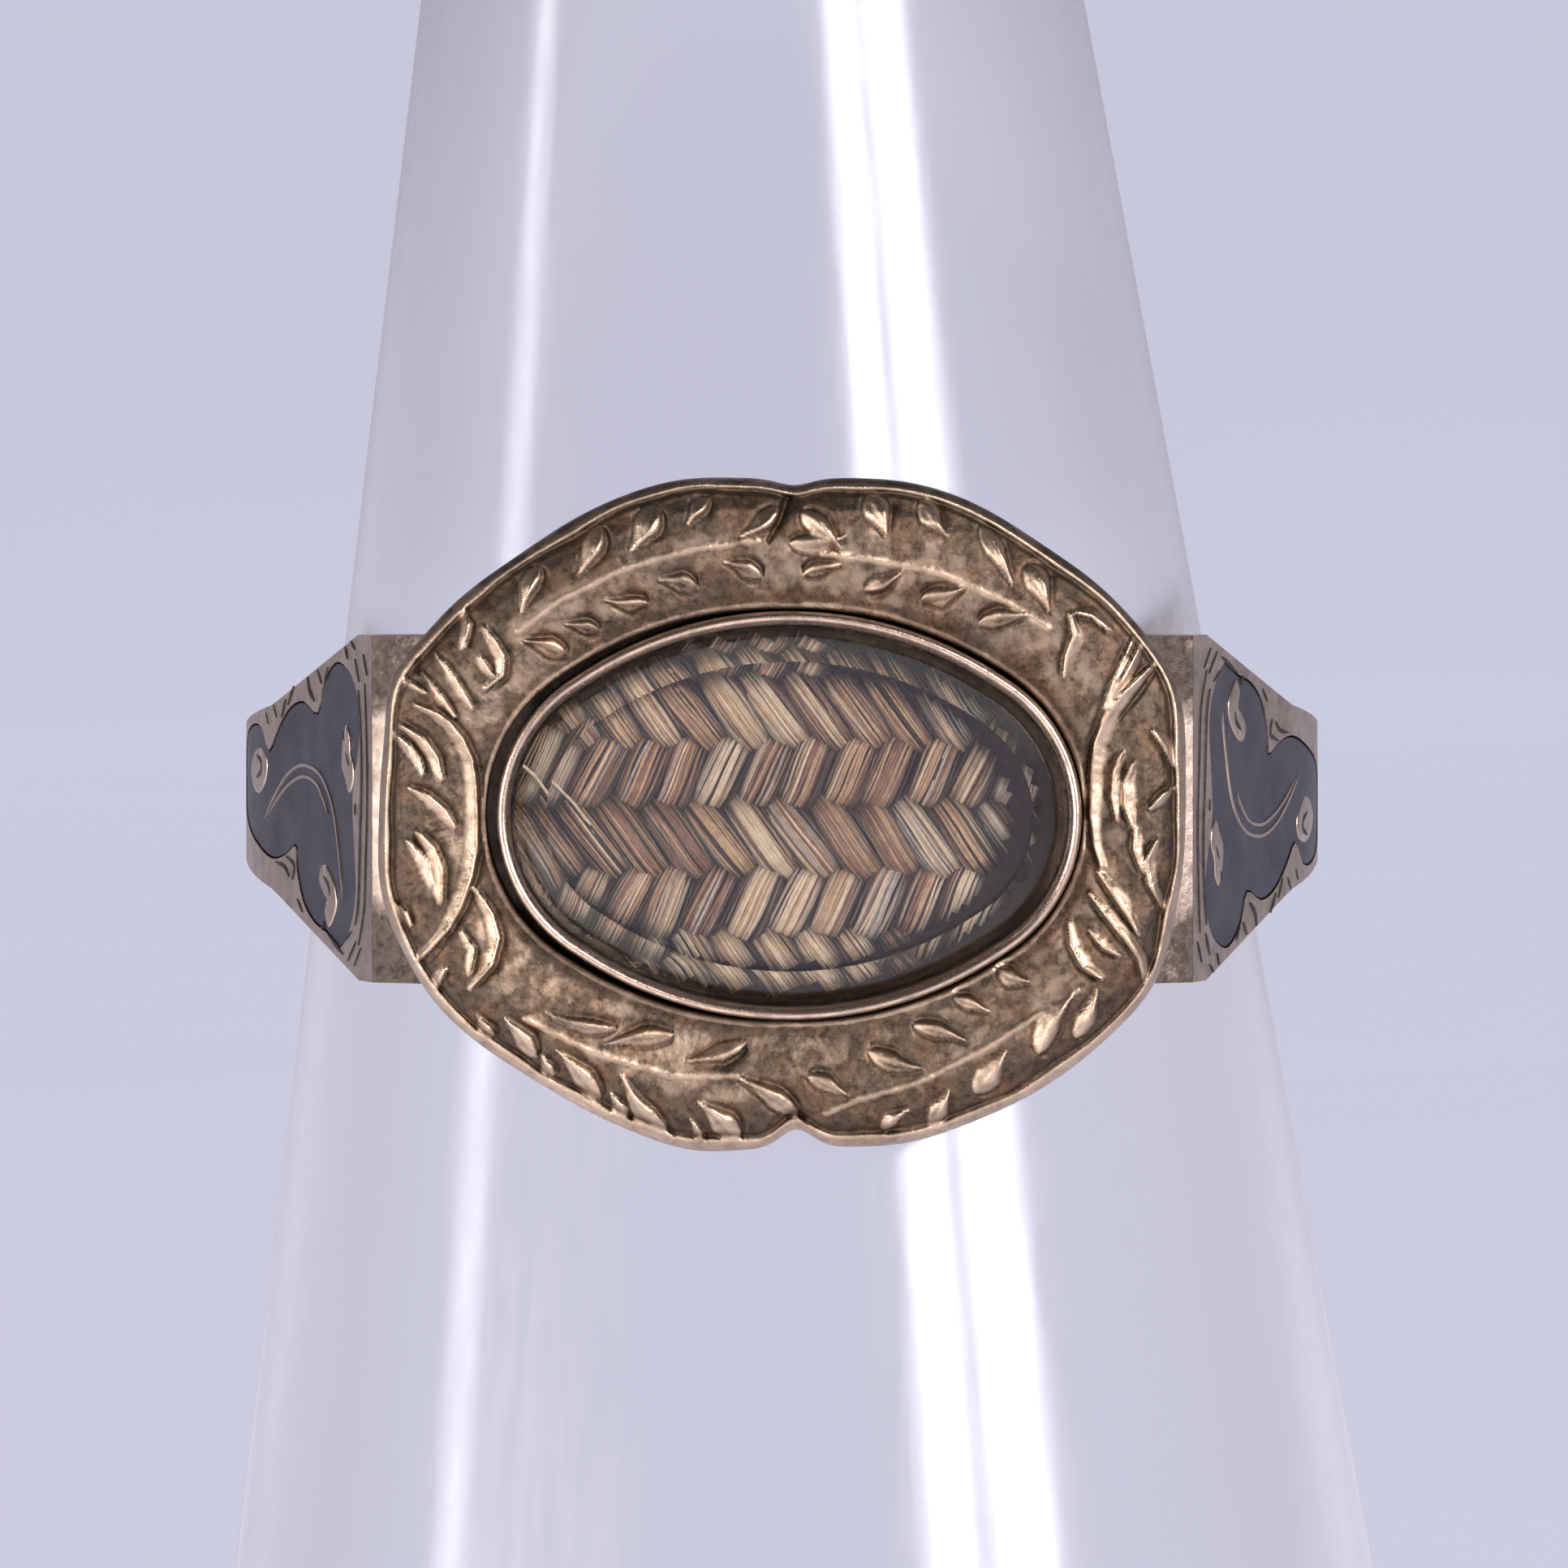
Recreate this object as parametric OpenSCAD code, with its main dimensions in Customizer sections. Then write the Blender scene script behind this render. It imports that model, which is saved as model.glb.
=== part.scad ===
// Mourning ring with an oval hair panel under crystal, standing on a clear ring cone.
// The origin is the middle of the cone's foot. The cone stands up +Z and the head faces -Y.

/* [Shank] */
// Inside diameter of the finger hole
bore_d = 17.9; // [16.5:0.1:19.5]
// Thickness of the hoop and the shoulders
wall = 1.0; // [0.8:0.05:1.3]
// Width of the hoop, along the finger
band_h = 2.4; // [1.8:0.1:3]
// How much the back of the hoop is crowned
crown = 0.3; // [0.1:0.05:0.5]
// Width of the shoulders where they meet the head
shoulder_h = 6.26; // [5.4:0.02:7]
// Distance of each shoulder's corner from the middle of the ring
shoulder_x = 7.4; // [7:0.05:8]
// Length of shoulder, ahead of its corner, that keeps its full width
shoulder_land = 0.8; // [0.4:0.1:1.5]
// Depth of each shoulder's corner behind the face of the back plate
corner_drop = 1.0; // [0.7:0.05:1.4]

/* [Back plate] */
// Thickness of the oval plate that carries the head
plate_t = 0.45; // [0.3:0.05:0.8]
// Height of the plate's underside over the finger hole
plate_lift = 0.5; // [0.3:0.05:0.9]
// How far the plate reaches past the crystal's rim
plate_reach = 0.8; // [0.4:0.05:1.1]

/* [Border] */
// Width of the border, across the finger
head_w = 14.44; // [13.6:0.02:15.4]
// Height of the border, along the finger
head_h = 12; // [11.2:0.1:12.8]
// Thickness of the border at its crest
border_t = 1.75; // [1.3:0.05:2.2]
// Squareness of the border's oval, where 2 is an ellipse
squareness = 2.3; // [2:0.05:2.8]
// Inset of the border's underside behind its outline
underside_inset = 0.35; // [0.1:0.05:0.6]
// Length of a laurel leaf
leaf_l = 0.98; // [0.7:0.02:1.2]
// Width of a laurel leaf
leaf_w = 0.34; // [0.24:0.02:0.5]
// Height of a laurel leaf over the border
leaf_rise = 0.13; // [0.06:0.01:0.2]
// Leaves along each side of a sprig
leaf_count = 6; // [4:1:7]
// Width of a sprig's stem
stem_w = 0.15; // [0.1:0.01:0.24]
// Width of the end lobes' ridges and gadroon strokes
ridge_w = 0.2; // [0.14:0.01:0.3]
// Height of the ridges, stems and gadroon strokes
ridge_rise = 0.09; // [0.05:0.01:0.15]

/* [Crystal and rim] */
// Width of the oval rim, across the finger
rim_w = 10.45; // [9.8:0.05:10.9]
// Height of the oval rim, along the finger
rim_h = 7.3; // [6.8:0.05:7.6]
// Radius of the rim's two ends
rim_end_r = 2.9; // [2.5:0.05:3.2]
// Thickness of the rim
rim_wall = 0.24; // [0.16:0.02:0.3]
// Height of the rim over the back plate
rim_rise = 2.1; // [1.8:0.05:2.5]
// Narrowing of the rim's top edge
rim_ease = 0.1; // [0.04:0.02:0.12]
// Space between the rim and the border, all round
rim_gap = 0.16; // [0.14:0.01:0.24]
// How far the rim sits off the middle of the border
rim_shift = 0.12; // [0:0.01:0.13]
// Width of the ledge that the crystal lies on
ledge_w = 0.22; // [0.12:0.02:0.4]
// Height of that ledge over the rim's foot
ledge_rise = 1.15; // [1:0.05:1.3]
// Thickness of the crystal
crystal_t = 1.05; // [0.8:0.05:1.3]
// Width of the crystal's bevel
bevel_w = 0.6; // [0.4:0.05:0.9]
// Depth of the crystal's bevel
bevel_t = 0.42; // [0.2:0.02:0.6]

/* [Hair] */
// Thickness of the plaited hair panel
hair_t = 0.7; // [0.4:0.05:0.85]
// Rows in the plait
hair_rows = 6; // [4:1:8]
// Depth of the furrows between the rows
hair_furrow = 0.2; // [0.1:0.02:0.3]
// Space left between the plait and its well
hair_gap = 0.28; // [0.24:0.02:0.5]
// How far the plait lies off the middle of its well
hair_shift = 0.2; // [0:0.02:0.22]

/* [Enamel] */
// Depth of the enamel
enamel_t = 0.35; // [0.25:0.05:0.5]
// How far the enamel's surface lies below the gold
enamel_sink = 0.02; // [0.01:0.01:0.06]

/* [Cone] */
// Diameter of the cone's foot
foot_d = 26; // [25.6:0.2:34]
// Diameter of the cone at its tip
tip_d = 9.5; // [6:0.5:12]
// Height of the cone
cone_h = 54; // [44:1:70]
// Rounding of the cone's tip
tip_round = 2; // [0.5:0.1:3]
// Bevel of the foot's edge
foot_bevel = 0.3; // [0.1:0.1:1]
// Lean of the ring on the cone, in degrees
lean = 1.85; // [0:0.05:3]

/* [Fits] */
// Clearance between pieces that are set into or onto each other
fit = 0.04; // [0.02:0.01:0.08]
// Clearance between the shoulders and the cone
seat_gap = 0.05; // [0.03:0.01:0.12]

/* [Hidden] */
$fn = 96;
gold_pink = "rosybrown";
gold_yellow = "goldenrod";

// Shank, in plan: the shoulder's flat runs from touch, on the hoop, to corner
bore_r = bore_d / 2;
outer_r = bore_r + wall;
reach = 2 * outer_r;
plate_face = bore_r + plate_lift + plate_t;
bite = plate_t / 2;
corner = [shoulder_x, corner_drop - plate_face];
// Curves that would only touch are set this far over each other, so that they cross cleanly
tuck = 0.01;
touch_r = outer_r - tuck;
touch_a = atan2(corner.y, corner.x) + acos(touch_r / norm(corner));
touch = touch_r * [cos(touch_a), sin(touch_a)];
// The hoop runs on under the flat by this many degrees
UNDER = 6;
flat_l = norm(corner - touch);
flat_dir = (corner - touch) / flat_l;
flat_out = [-flat_dir.y, flat_dir.x];
flat_a = atan2(flat_dir.y, flat_dir.x);
side_s = ([outer_r, 0] - touch) * flat_dir;
land_s = flat_l - shoulder_land;
land_x = touch.x + land_s * flat_dir.x;
touch_h = band_h + (shoulder_h - band_h) * (outer_r - touch.x) / (outer_r - land_x);

// The crystal, the rim, the plate and the hair share the centres of one four-arc oval
half_rim = rim_h / 2;
end_x = rim_w / 2 - rim_end_r - tuck;
long_r = (end_x * end_x + half_rim * half_rim - rim_end_r * rim_end_r) / (2 * (half_rim - rim_end_r));
long_y = long_r - half_rim;
well_set = rim_wall + ledge_w;
plate_half_w = rim_w / 2 + plate_reach;
hair_half_h = half_rim - well_set - hair_gap;
hair_pitch = 2 * hair_half_h / hair_rows;
// Steps across one row of the plait
ROW_STEPS = 8;

// Steps round the border and the hair panel
STEPS = 120;
// Swells and nicks of the outline: angle, share of the reach, half width in degrees
WAVE_A = 0;
WAVE_SHARE = 1;
WAVE_SPREAD = 2;
WAVES = [
    [18, 0.026, 9], [45, -0.014, 10], [68, 0.020, 13], [88, -0.020, 4], [107, 0.016, 10],
    [136, -0.030, 13], [161, 0.024, 6], [191, 0.012, 8], [226, -0.034, 15], [255, 0.020, 9],
    [272.5, -0.055, 4], [291, 0.013, 9], [335, 0.018, 8],
];
// Section of the border: share of the way from the opening to the outline, share of border_t
SECTION_T = 0;
SECTION_H = 1;
SECTION = [
    [0, 0.74], [0.07, 0.82], [0.2, 0.9], [0.4, 0.98], [0.6, 1], [0.76, 0.95], [0.86, 0.86],
    [0.92, 0.84], [0.97, 0.68], [1, 0.42],
];
// Sprigs of laurel: the angle where each springs, and the angle of its tip
SPRIGS = [[30, 83], [150, 92.5], [210, 267], [330, 278]];
// Where a sprig's stem and the leaves' bases run across the border, and how far the leaves splay
STEM_T = 0.5;
LEAF_T = 0.06;
SPLAY = 38;
// An inner leaf springs this share of a pitch after its outer neighbour
LEAF_LAG = 0.5;
// Outline of a leaf: share of its length, share of half its width. Its spine's ends: shares of its length
LEAF = [[0, 0], [0.3, 1], [0.65, 0.8], [1, 0], [0.65, -0.8], [0.3, -1]];
SPINE = [0.2, 0.7];
// End lobes: middle angle, half the spread in degrees
ENDS = [[0, 23], [181, 21]];
// Share across of the ridge that parts a lobe from the sprigs, at its middle and at its ends
LOBE_MID = 0.12;
LOBE_END = 0.92;
LOBE_POWER = 3;
LOBE_STEP = 0.25;
// The two groups of C-shaped strokes of an end lobe: turn off its middle, share across
GROUPS = [[9, 0.95], [-7, 0.95]];
STROKES = 3;
STROKE_TURNS = [-60, -30, 0, 30, 60];
stroke_step = ridge_w * 1.7;
// Corner leaves between the end lobes and the sprigs: angle, and the side they curl to
CORNERS = [[25, 1], [155, -1], [205, 1], [335, -1]];
// Shares across of a corner leaf's strokes, the degrees between two strokes, and their curl in degrees
CORNER_T = [0.3, 0.5, 0.72];
CORNER_SPREAD = 3.2;
CORNER_CURL = 5;
// What is raised over the border starts this far under its surface
sink = ridge_rise;
// How far a cut runs on past what it cuts
overcut = 1;

// Enamel scroll of the right shoulder, seen square on to the flat: share of the way from the ring's
// side to the shoulder's corner, share of half the shoulder's width
SCROLL = [
    [0.79, -0.82], [0.87, -0.74], [0.91, -0.58], [0.91, -0.36], [0.87, -0.06], [0.88, 0.24],
    [0.89, 0.48], [0.86, 0.68], [0.79, 0.82], [0.71, 0.74], [0.63, 0.69], [0.56, 0.58], [0.52, 0.4],
    [0.51, 0.26], [0.44, 0.32], [0.36, 0.35], [0.26, 0.29], [0.13, 0.18], [0.05, 0.06],
    [0.04, -0.16], [0.1, -0.32], [0.2, -0.4], [0.28, -0.39], [0.34, -0.26], [0.41, -0.42],
    [0.48, -0.53], [0.56, -0.57], [0.65, -0.51], [0.69, -0.68], [0.73, -0.77],
];
SCROLL_STEPS = 3;

// Cone and the ring's seat on it
slope = (foot_d - tip_d) / 2 / cone_h;
seat_r = bore_r - seat_gap - slope * shoulder_x * sin(lean);
seat_z = (foot_d / 2 - seat_r) / slope;
TIP_STEPS = 8;

function total(v, i = 0) = i < len(v) ? v[i] + total(v, i + 1) : 0;
function fold(a) = (a % 360 + 540) % 360 - 180;
function along(a) = [cos(a), sin(a)];
function swapped(p) = [-p.y, p.x];

// Distance from the border's middle to its plain cushion oval, at an angle
function cushion(a) = pow(
    pow(abs(cos(a)) * 2 / head_w, squareness) + pow(abs(sin(a)) * 2 / head_h, squareness),
    -1 / squareness);

// The same with its six lobes
function outline(a) = cushion(a) * (1 + total([
    for (w = WAVES) w[WAVE_SHARE] * exp(-pow(fold(a - w[WAVE_A]) / w[WAVE_SPREAD], 2))
]));

// Distance along a ray from the middle to the far side of a circle, or to where it passes nearest
function ray_circle(a, centre, r) =
    let (b = centre * along(a)) b + sqrt(max(b * b - centre * centre + r * r, 0));

// Distance from the middle to the rim's four-arc oval, grown by grow
function oval_reach(a, grow) =
    let (
        b = atan2(abs(sin(a)), abs(cos(a))),
        end = ray_circle(b, [end_x + tuck, 0], rim_end_r + grow),
        p = end * along(b)
    )
    (p.x - end_x) * long_y > p.y * end_x ? end
        : max(end, ray_circle(b, [0, -long_y], long_r + grow));

// Distance from the middle to the edge of the opening that the rim stands in
function opening(a) = oval_reach(a, rim_gap);

// Section across the plait: each row is crowned and stands hair_furrow over the furrows beside it
function plait_profile() = concat(
    [[hair_half_h + overcut, -overcut], [-hair_half_h - overcut, -overcut]],
    [[-hair_half_h - overcut, hair_t - hair_furrow]],
    [
        for (i = [0 : hair_rows * ROW_STEPS])
        let (s = i % ROW_STEPS * 2 / ROW_STEPS - 1)
        [i / ROW_STEPS * hair_pitch - hair_half_h, hair_t - hair_furrow * s * s]
    ],
    [[hair_half_h + overcut, hair_t - hair_furrow]]
);

// A point of the border at an angle and a share of the way across
function across(a, t) = (opening(a) + t * (outline(a) - opening(a))) * along(a);

// A point over the border's surface
function raised(p, over) =
    let (a = atan2(p.y, p.x), t = (norm(p) - opening(a)) / (outline(a) - opening(a)))
    [p.x, p.y, border_t * lookup(t, SECTION) + over];

// Smooth closed curve through points, with steps pieces between each two
function smooth(points, steps) = [
    for (i = [0 : len(points) - 1], j = [0 : steps - 1])
    let (
        n = len(points),
        p0 = points[(i + n - 1) % n],
        p1 = points[i],
        p2 = points[(i + 1) % n],
        p3 = points[(i + 2) % n],
        t = j / steps
    )
    p1 + t * (p2 - p0) / 2 + t * t * (2 * p0 - 5 * p1 + 4 * p2 - p3) / 2
        + t * t * t * (3 * p1 - p0 - 3 * p2 + p3) / 2
];

// A closed outline moved outwards by d
function grown(points, d) = [
    for (i = [0 : len(points) - 1])
    let (
        n = len(points),
        way = points[(i + 1) % n] - points[(i + n - 1) % n]
    )
    points[i] - d * swapped(way) / norm(way)
];

// Convex solid round a few points
module hull_of(points) {
    hull()
        polyhedron(points, [[for (i = [0 : len(points) - 1]) i]]);
}

// One laurel leaf, from its base in the direction dir
module leaf(base, dir) {
    side = swapped(dir) * leaf_w / 2;
    edge = [for (e = LEAF) base + dir * leaf_l * e.x + side * e.y];
    spine = [for (s = SPINE) base + dir * leaf_l * s];
    hull_of(concat([for (p = edge) raised(p, -sink)], [for (p = spine) raised(p, leaf_rise)]));
}

// A ridge of triangular section along a path on the border
module ridge(path, width) {
    last = len(path) - 1;
    ribs = [
        for (i = [0 : last])
        let (
            way = path[min(i + 1, last)] - path[max(i - 1, 0)],
            side = swapped(way) / norm(way) * width / 2
        )
        [raised(path[i] + side, -sink), raised(path[i] - side, -sink), raised(path[i], ridge_rise)]
    ];
    for (i = [0 : last - 1])
        hull_of(concat(ribs[i], ribs[i + 1]));
}

// A laurel sprig: a stem with leaves on both sides and one at its tip
module sprig(from, to) {
    ahead = sign(to - from);
    pitch = (to - from) / (leaf_count + 1);
    ridge([for (i = [0 : leaf_count]) across(from + pitch * i, STEM_T)], stem_w);
    for (i = [0 : leaf_count - 1], out = [-1, 1])
        leaf(
            across(from + pitch * (i + (1 - out) / 2 * LEAF_LAG), STEM_T + out * LEAF_T),
            along(from + pitch * (i + 0.5) + ahead * (90 - out * SPLAY))
        );
    leaf(across(to - pitch, STEM_T), along(to - pitch / 2 + ahead * 90));
}

// An end lobe: a ridge that parts it from the sprigs, and two groups of C-shaped strokes
module end_lobe(mid, spread) {
    ridge([
        for (s = [-1 : LOBE_STEP : 1])
        across(mid + spread * s, LOBE_MID + (LOBE_END - LOBE_MID) * pow(abs(s), LOBE_POWER))
    ], ridge_w);
    for (g = GROUPS, k = [1 : STROKES])
        ridge([
            for (b = STROKE_TURNS)
            across(mid + g[0], g[1]) - k * stroke_step * along(mid + b)
        ], ridge_w);
}

// A corner leaf between an end lobe and a sprig: three short strokes
module corner_leaf(a, turn) {
    for (i = [-1 : 1])
        ridge(
            [for (t = CORNER_T) across(a + turn * (i * CORNER_SPREAD + t * CORNER_CURL), t)],
            ridge_w
        );
}

// Plain body of the border: one section swept round
module border_body() {
    rings = len(SECTION) + 2;
    sections = [
        for (i = [0 : STEPS - 1])
        let (
            a = 360 * i / STEPS,
            inner = across(a, 0),
            foot = across(a, 1) - underside_inset * along(a)
        )
        concat(
            [[inner.x, inner.y, 0]],
            [for (s = SECTION) let (p = across(a, s[SECTION_T])) [p.x, p.y, border_t * s[SECTION_H]]],
            [[foot.x, foot.y, 0]]
        )
    ];
    polyhedron(
        [for (s = sections) each s],
        [
            for (i = [0 : STEPS - 1], k = [0 : rings - 1])
            let (n = (i + 1) % STEPS, m = (k + 1) % rings)
            [i * rings + k, n * rings + k, n * rings + m, i * rings + m]
        ]
    );
}

// Turns what is drawn face up to the head, on the back plate
module on_face() {
    translate([0, -plate_face, 0])
        rotate([90, 0, 0])
            children();
}

// Stands the ring on the cone, rolled about the lower edge of its shoulders
module seated() {
    translate([0, 0, seat_z])
        rotate([0, lean, 0])
            translate([0, 0, shoulder_h / 2])
                children();
}

// Four-arc oval slab: the rim's outline grown by grow, h thick, narrowed by taper at its top
module oval(grow, h, taper = 0) {
    far = [end_x, 0] + rim_w * [end_x, long_y] / norm([end_x, long_y]);
    intersection() {
        translate([0, -long_y, 0])
            cylinder(h = h, r1 = long_r + grow, r2 = long_r + grow - taper);
        translate([0, long_y, 0])
            cylinder(h = h, r1 = long_r + grow, r2 = long_r + grow - taper);
        linear_extrude(h)
            polygon([[end_x, 0], far, [-far.x, far.y], [-end_x, 0], -far, [far.x, -far.y]]);
    }
    for (side = [-1, 1])
        translate([side * (end_x + tuck), 0, 0])
            cylinder(h = h, r1 = rim_end_r + grow, r2 = rim_end_r + grow - taper);
}

// Plan of the right half of the shank, as it lies below its outer surface by depth
module shoulder_plan(depth) {
    front = bite + depth - plate_face;
    linear_extrude(shoulder_h, center = true)
        polygon([
            [0, 0], touch - depth * flat_out, corner - depth * flat_out,
            [plate_half_w - bite, front], [0, front],
        ]);
    intersection() {
        cylinder(r = outer_r - depth, h = shoulder_h, center = true);
        linear_extrude(shoulder_h, center = true)
            polygon([[0, 0], reach * along(touch_a - UNDER), [reach, 0]]);
    }
}

// Stands an outline, drawn along the flat from touch, up square to the flat, and cuts inwards with it
module square_to_flat() {
    translate(touch + wall * flat_out)
        rotate([0, 0, flat_a])
            rotate([90, 0, 0])
                linear_extrude(reach)
                    children();
}

// Right shoulder, widening from the hoop to the head
module shoulder() {
    intersection() {
        shoulder_plan(0);
        square_to_flat()
            polygon([
                [side_s, -band_h / 2], [0, -touch_h / 2], [land_s, -shoulder_h / 2],
                [reach, -shoulder_h / 2], [reach, shoulder_h / 2], [land_s, shoulder_h / 2],
                [0, touch_h / 2], [side_s, band_h / 2],
            ]);
    }
}

// Back half of the hoop, flat at its sides and crowned at its back
module hoop() {
    crown_r = outer_r + crown;
    arc_r = (band_h * band_h / 4 + crown * crown) / (2 * crown);
    intersection() {
        cylinder(r = outer_r, h = band_h, center = true);
        translate([0, -crown, 0])
            rotate_extrude()
                intersection() {
                    translate([crown_r - arc_r, 0])
                        circle(arc_r);
                    translate([0, -band_h / 2])
                        square([reach, band_h]);
                }
        translate([-reach, 0, -band_h / 2])
            cube([2 * reach, reach, band_h]);
    }
}

// Right enamel scroll, between two depths under the gold and grown by extra
module scroll(top, bottom, extra) {
    place = [for (p = SCROLL) [side_s + p.x * (flat_l - side_s), p.y * shoulder_h / 2]];
    intersection() {
        difference() {
            shoulder_plan(top);
            shoulder_plan(bottom);
        }
        square_to_flat()
            polygon(grown(smooth(place, SCROLL_STEPS), extra));
    }
}

module scroll_cell() {
    scroll(-wall, enamel_sink + enamel_t + fit, fit);
}

module ring_shank() {
    color(gold_pink)
        difference() {
            union() {
                hoop();
                shoulder();
                mirror([1, 0, 0])
                    shoulder();
                on_face()
                    translate([rim_shift, 0, -plate_t])
                        oval(plate_reach, plate_t);
            }
            cylinder(r = bore_r, h = reach, center = true);
            scroll_cell();
            rotate([0, 180, 0])
                scroll_cell();
        }
}

module leaf_border() {
    color(gold_yellow)
        on_face()
            translate([0, 0, fit]) {
                border_body();
                for (s = SPRIGS)
                    sprig(s[0], s[1]);
                for (e = ENDS)
                    end_lobe(e[0], e[1]);
                for (c = CORNERS)
                    corner_leaf(c[0], c[1]);
            }
}

module crystal_rim() {
    color(gold_pink)
        on_face()
            translate([rim_shift, 0, fit])
                difference() {
                    union() {
                        oval(0, rim_rise - rim_ease);
                        translate([0, 0, rim_rise - rim_ease])
                            oval(0, rim_ease, rim_ease);
                    }
                    translate([0, 0, -overcut])
                        oval(-well_set, rim_rise + 2 * overcut);
                    translate([0, 0, ledge_rise])
                        oval(-rim_wall, rim_rise);
                }
}

module crystal() {
    color("lightcyan", 0.4)
        on_face()
            translate([rim_shift, 0, ledge_rise + 2 * fit]) {
                oval(-rim_wall - fit, crystal_t - bevel_t);
                translate([0, 0, crystal_t - bevel_t])
                    oval(-rim_wall - fit, bevel_t, bevel_w);
            }
}

module hair_panel() {
    color("saddlebrown")
        on_face()
            translate([rim_shift - hair_shift, 0, fit])
                intersection() {
                    linear_extrude(hair_t)
                        polygon([
                            for (i = [0 : STEPS - 1])
                            let (a = 360 * i / STEPS) oval_reach(a, -well_set - hair_gap) * along(a)
                        ]);
                    rotate([90, 0, 90])
                        linear_extrude(rim_w, center = true)
                            polygon(plait_profile());
                }
}

module enamel_right() {
    color("darkslategray")
        scroll(enamel_sink, enamel_sink + enamel_t, 0);
}

module enamel_left() {
    rotate([0, 180, 0])
        enamel_right();
}

module ring_cone() {
    tip_r = tip_d / 2;
    // The side leans in by its half angle, so the rounding starts where it meets the side squarely
    lead = atan(slope);
    round_x = tip_r - tip_round * (cos(lead) - slope * (1 - sin(lead)));
    color("white", 0.4)
        rotate_extrude()
            polygon(concat(
                [[0, 0], [foot_d / 2 - foot_bevel, 0], [foot_d / 2 - foot_bevel * slope, foot_bevel]],
                [
                    for (i = [0 : TIP_STEPS])
                    let (a = lead + (90 - lead) * i / TIP_STEPS)
                    [round_x, cone_h - tip_round] + tip_round * along(a)
                ],
                [[0, cone_h]]
            ));
}

seated() ring_shank();
seated() leaf_border();
seated() crystal_rim();
seated() crystal();
seated() hair_panel();
seated() enamel_left();
seated() enamel_right();
ring_cone();
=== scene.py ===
"""Mourning ring on a clear ring cone: looks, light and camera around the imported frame.

Lengths are in millimetres in the ring's own frame (axis Z, head towards -Y) until placed() turns them
into metres in the row frame.
"""

import math
import random

import bpy
import numpy as np
from mathutils import Matrix, Vector, noise


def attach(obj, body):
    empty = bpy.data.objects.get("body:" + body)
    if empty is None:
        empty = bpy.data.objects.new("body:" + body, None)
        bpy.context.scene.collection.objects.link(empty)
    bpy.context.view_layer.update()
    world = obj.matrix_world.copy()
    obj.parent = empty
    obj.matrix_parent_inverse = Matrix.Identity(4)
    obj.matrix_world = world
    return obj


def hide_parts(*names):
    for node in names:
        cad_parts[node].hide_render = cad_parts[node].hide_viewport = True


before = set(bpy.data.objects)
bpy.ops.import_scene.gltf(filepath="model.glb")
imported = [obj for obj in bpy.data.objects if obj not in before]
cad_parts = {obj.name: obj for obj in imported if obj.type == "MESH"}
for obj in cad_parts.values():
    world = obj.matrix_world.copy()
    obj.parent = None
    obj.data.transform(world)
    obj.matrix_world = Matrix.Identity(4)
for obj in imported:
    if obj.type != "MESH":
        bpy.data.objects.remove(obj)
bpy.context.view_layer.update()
MM = 0.001

# Sizes shared with the frame
BORE_R, WALL = 8.95, 1.0
OUTER_R = BORE_R + WALL
SHOULDER_H, SHOULDER_X = 6.26, 7.4
PLATE_FACE, CORNER_DROP = 9.9, 1.0
CORNER = np.array([SHOULDER_X, CORNER_DROP - PLATE_FACE])
TUCK, FIT, SEAT_GAP = 0.01, 0.04, 0.05
LEAN = math.radians(1.85)
FOOT_D, TIP_D, CONE_H, TIP_ROUND, FOOT_BEVEL = 26.0, 9.5, 54.0, 2.0, 0.3
SLOPE = (FOOT_D - TIP_D) / 2 / CONE_H
SEAT_R = BORE_R - SEAT_GAP - SLOPE * SHOULDER_X * math.sin(LEAN)
SEAT_Z = (FOOT_D / 2 - SEAT_R) / SLOPE
PLACE = (
    Matrix.Translation((0, 0, SEAT_Z))
    @ Matrix.Rotation(LEAN, 4, "Y")
    @ Matrix.Translation((0, 0, SHOULDER_H / 2))
)

# Border and rim
HEAD_W, HEAD_H, BORDER_T, SQUARENESS = 14.44, 12.0, 1.75, 2.3
UNDERSIDE_INSET = 0.35
RIM_W, RIM_H, RIM_END_R = 10.45, 7.3, 2.9
RIM_SHIFT, RIM_RISE = 0.12, 2.1
HALF_RIM = RIM_H / 2
END_X = RIM_W / 2 - RIM_END_R - TUCK
LONG_R = (END_X ** 2 + HALF_RIM ** 2 - RIM_END_R ** 2) / (2 * (HALF_RIM - RIM_END_R))
LONG_Y = LONG_R - HALF_RIM
WELL_SET = 0.46
HAIR_T, HAIR_GAP, HAIR_SHIFT = 0.7, 0.28, 0.2
# Swells and nicks of the outline: angle, share of the reach, half width in degrees
WAVES = [
    (18, 0.026, 9), (45, -0.014, 10), (68, 0.020, 13), (88, -0.020, 4), (107, 0.016, 10),
    (136, -0.030, 13), (161, 0.024, 6), (191, 0.012, 8), (226, -0.034, 15), (255, 0.020, 9),
    (272.5, -0.055, 4), (291, 0.013, 9), (335, 0.018, 8),
]
# Section of the border: share of the way from the opening to the outline, share of its thickness
SECTION = [
    (0, 0.86), (0.06, 0.88), (0.2, 0.925), (0.4, 0.98), (0.6, 1), (0.76, 0.95), (0.86, 0.86),
    (0.92, 0.84), (0.97, 0.68), (1, 0.42),
]

# Points read from the photograph are given in its pixels. The middle of the head there, and mm in a pixel
HEAD_PX = (957, 999)
PX = 0.0145


def on_head(x, y):
    """A point of the photograph as (u, v) on the head, in mm."""
    return (x - HEAD_PX[0]) * PX, (HEAD_PX[1] - y) * PX


def placed(points):
    """Points in the ring's frame, in mm, as metres in the row frame."""
    m = np.array(PLACE)
    p = np.asarray(points, float)
    return (p @ m[:3, :3].T + m[:3, 3]) * MM


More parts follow.
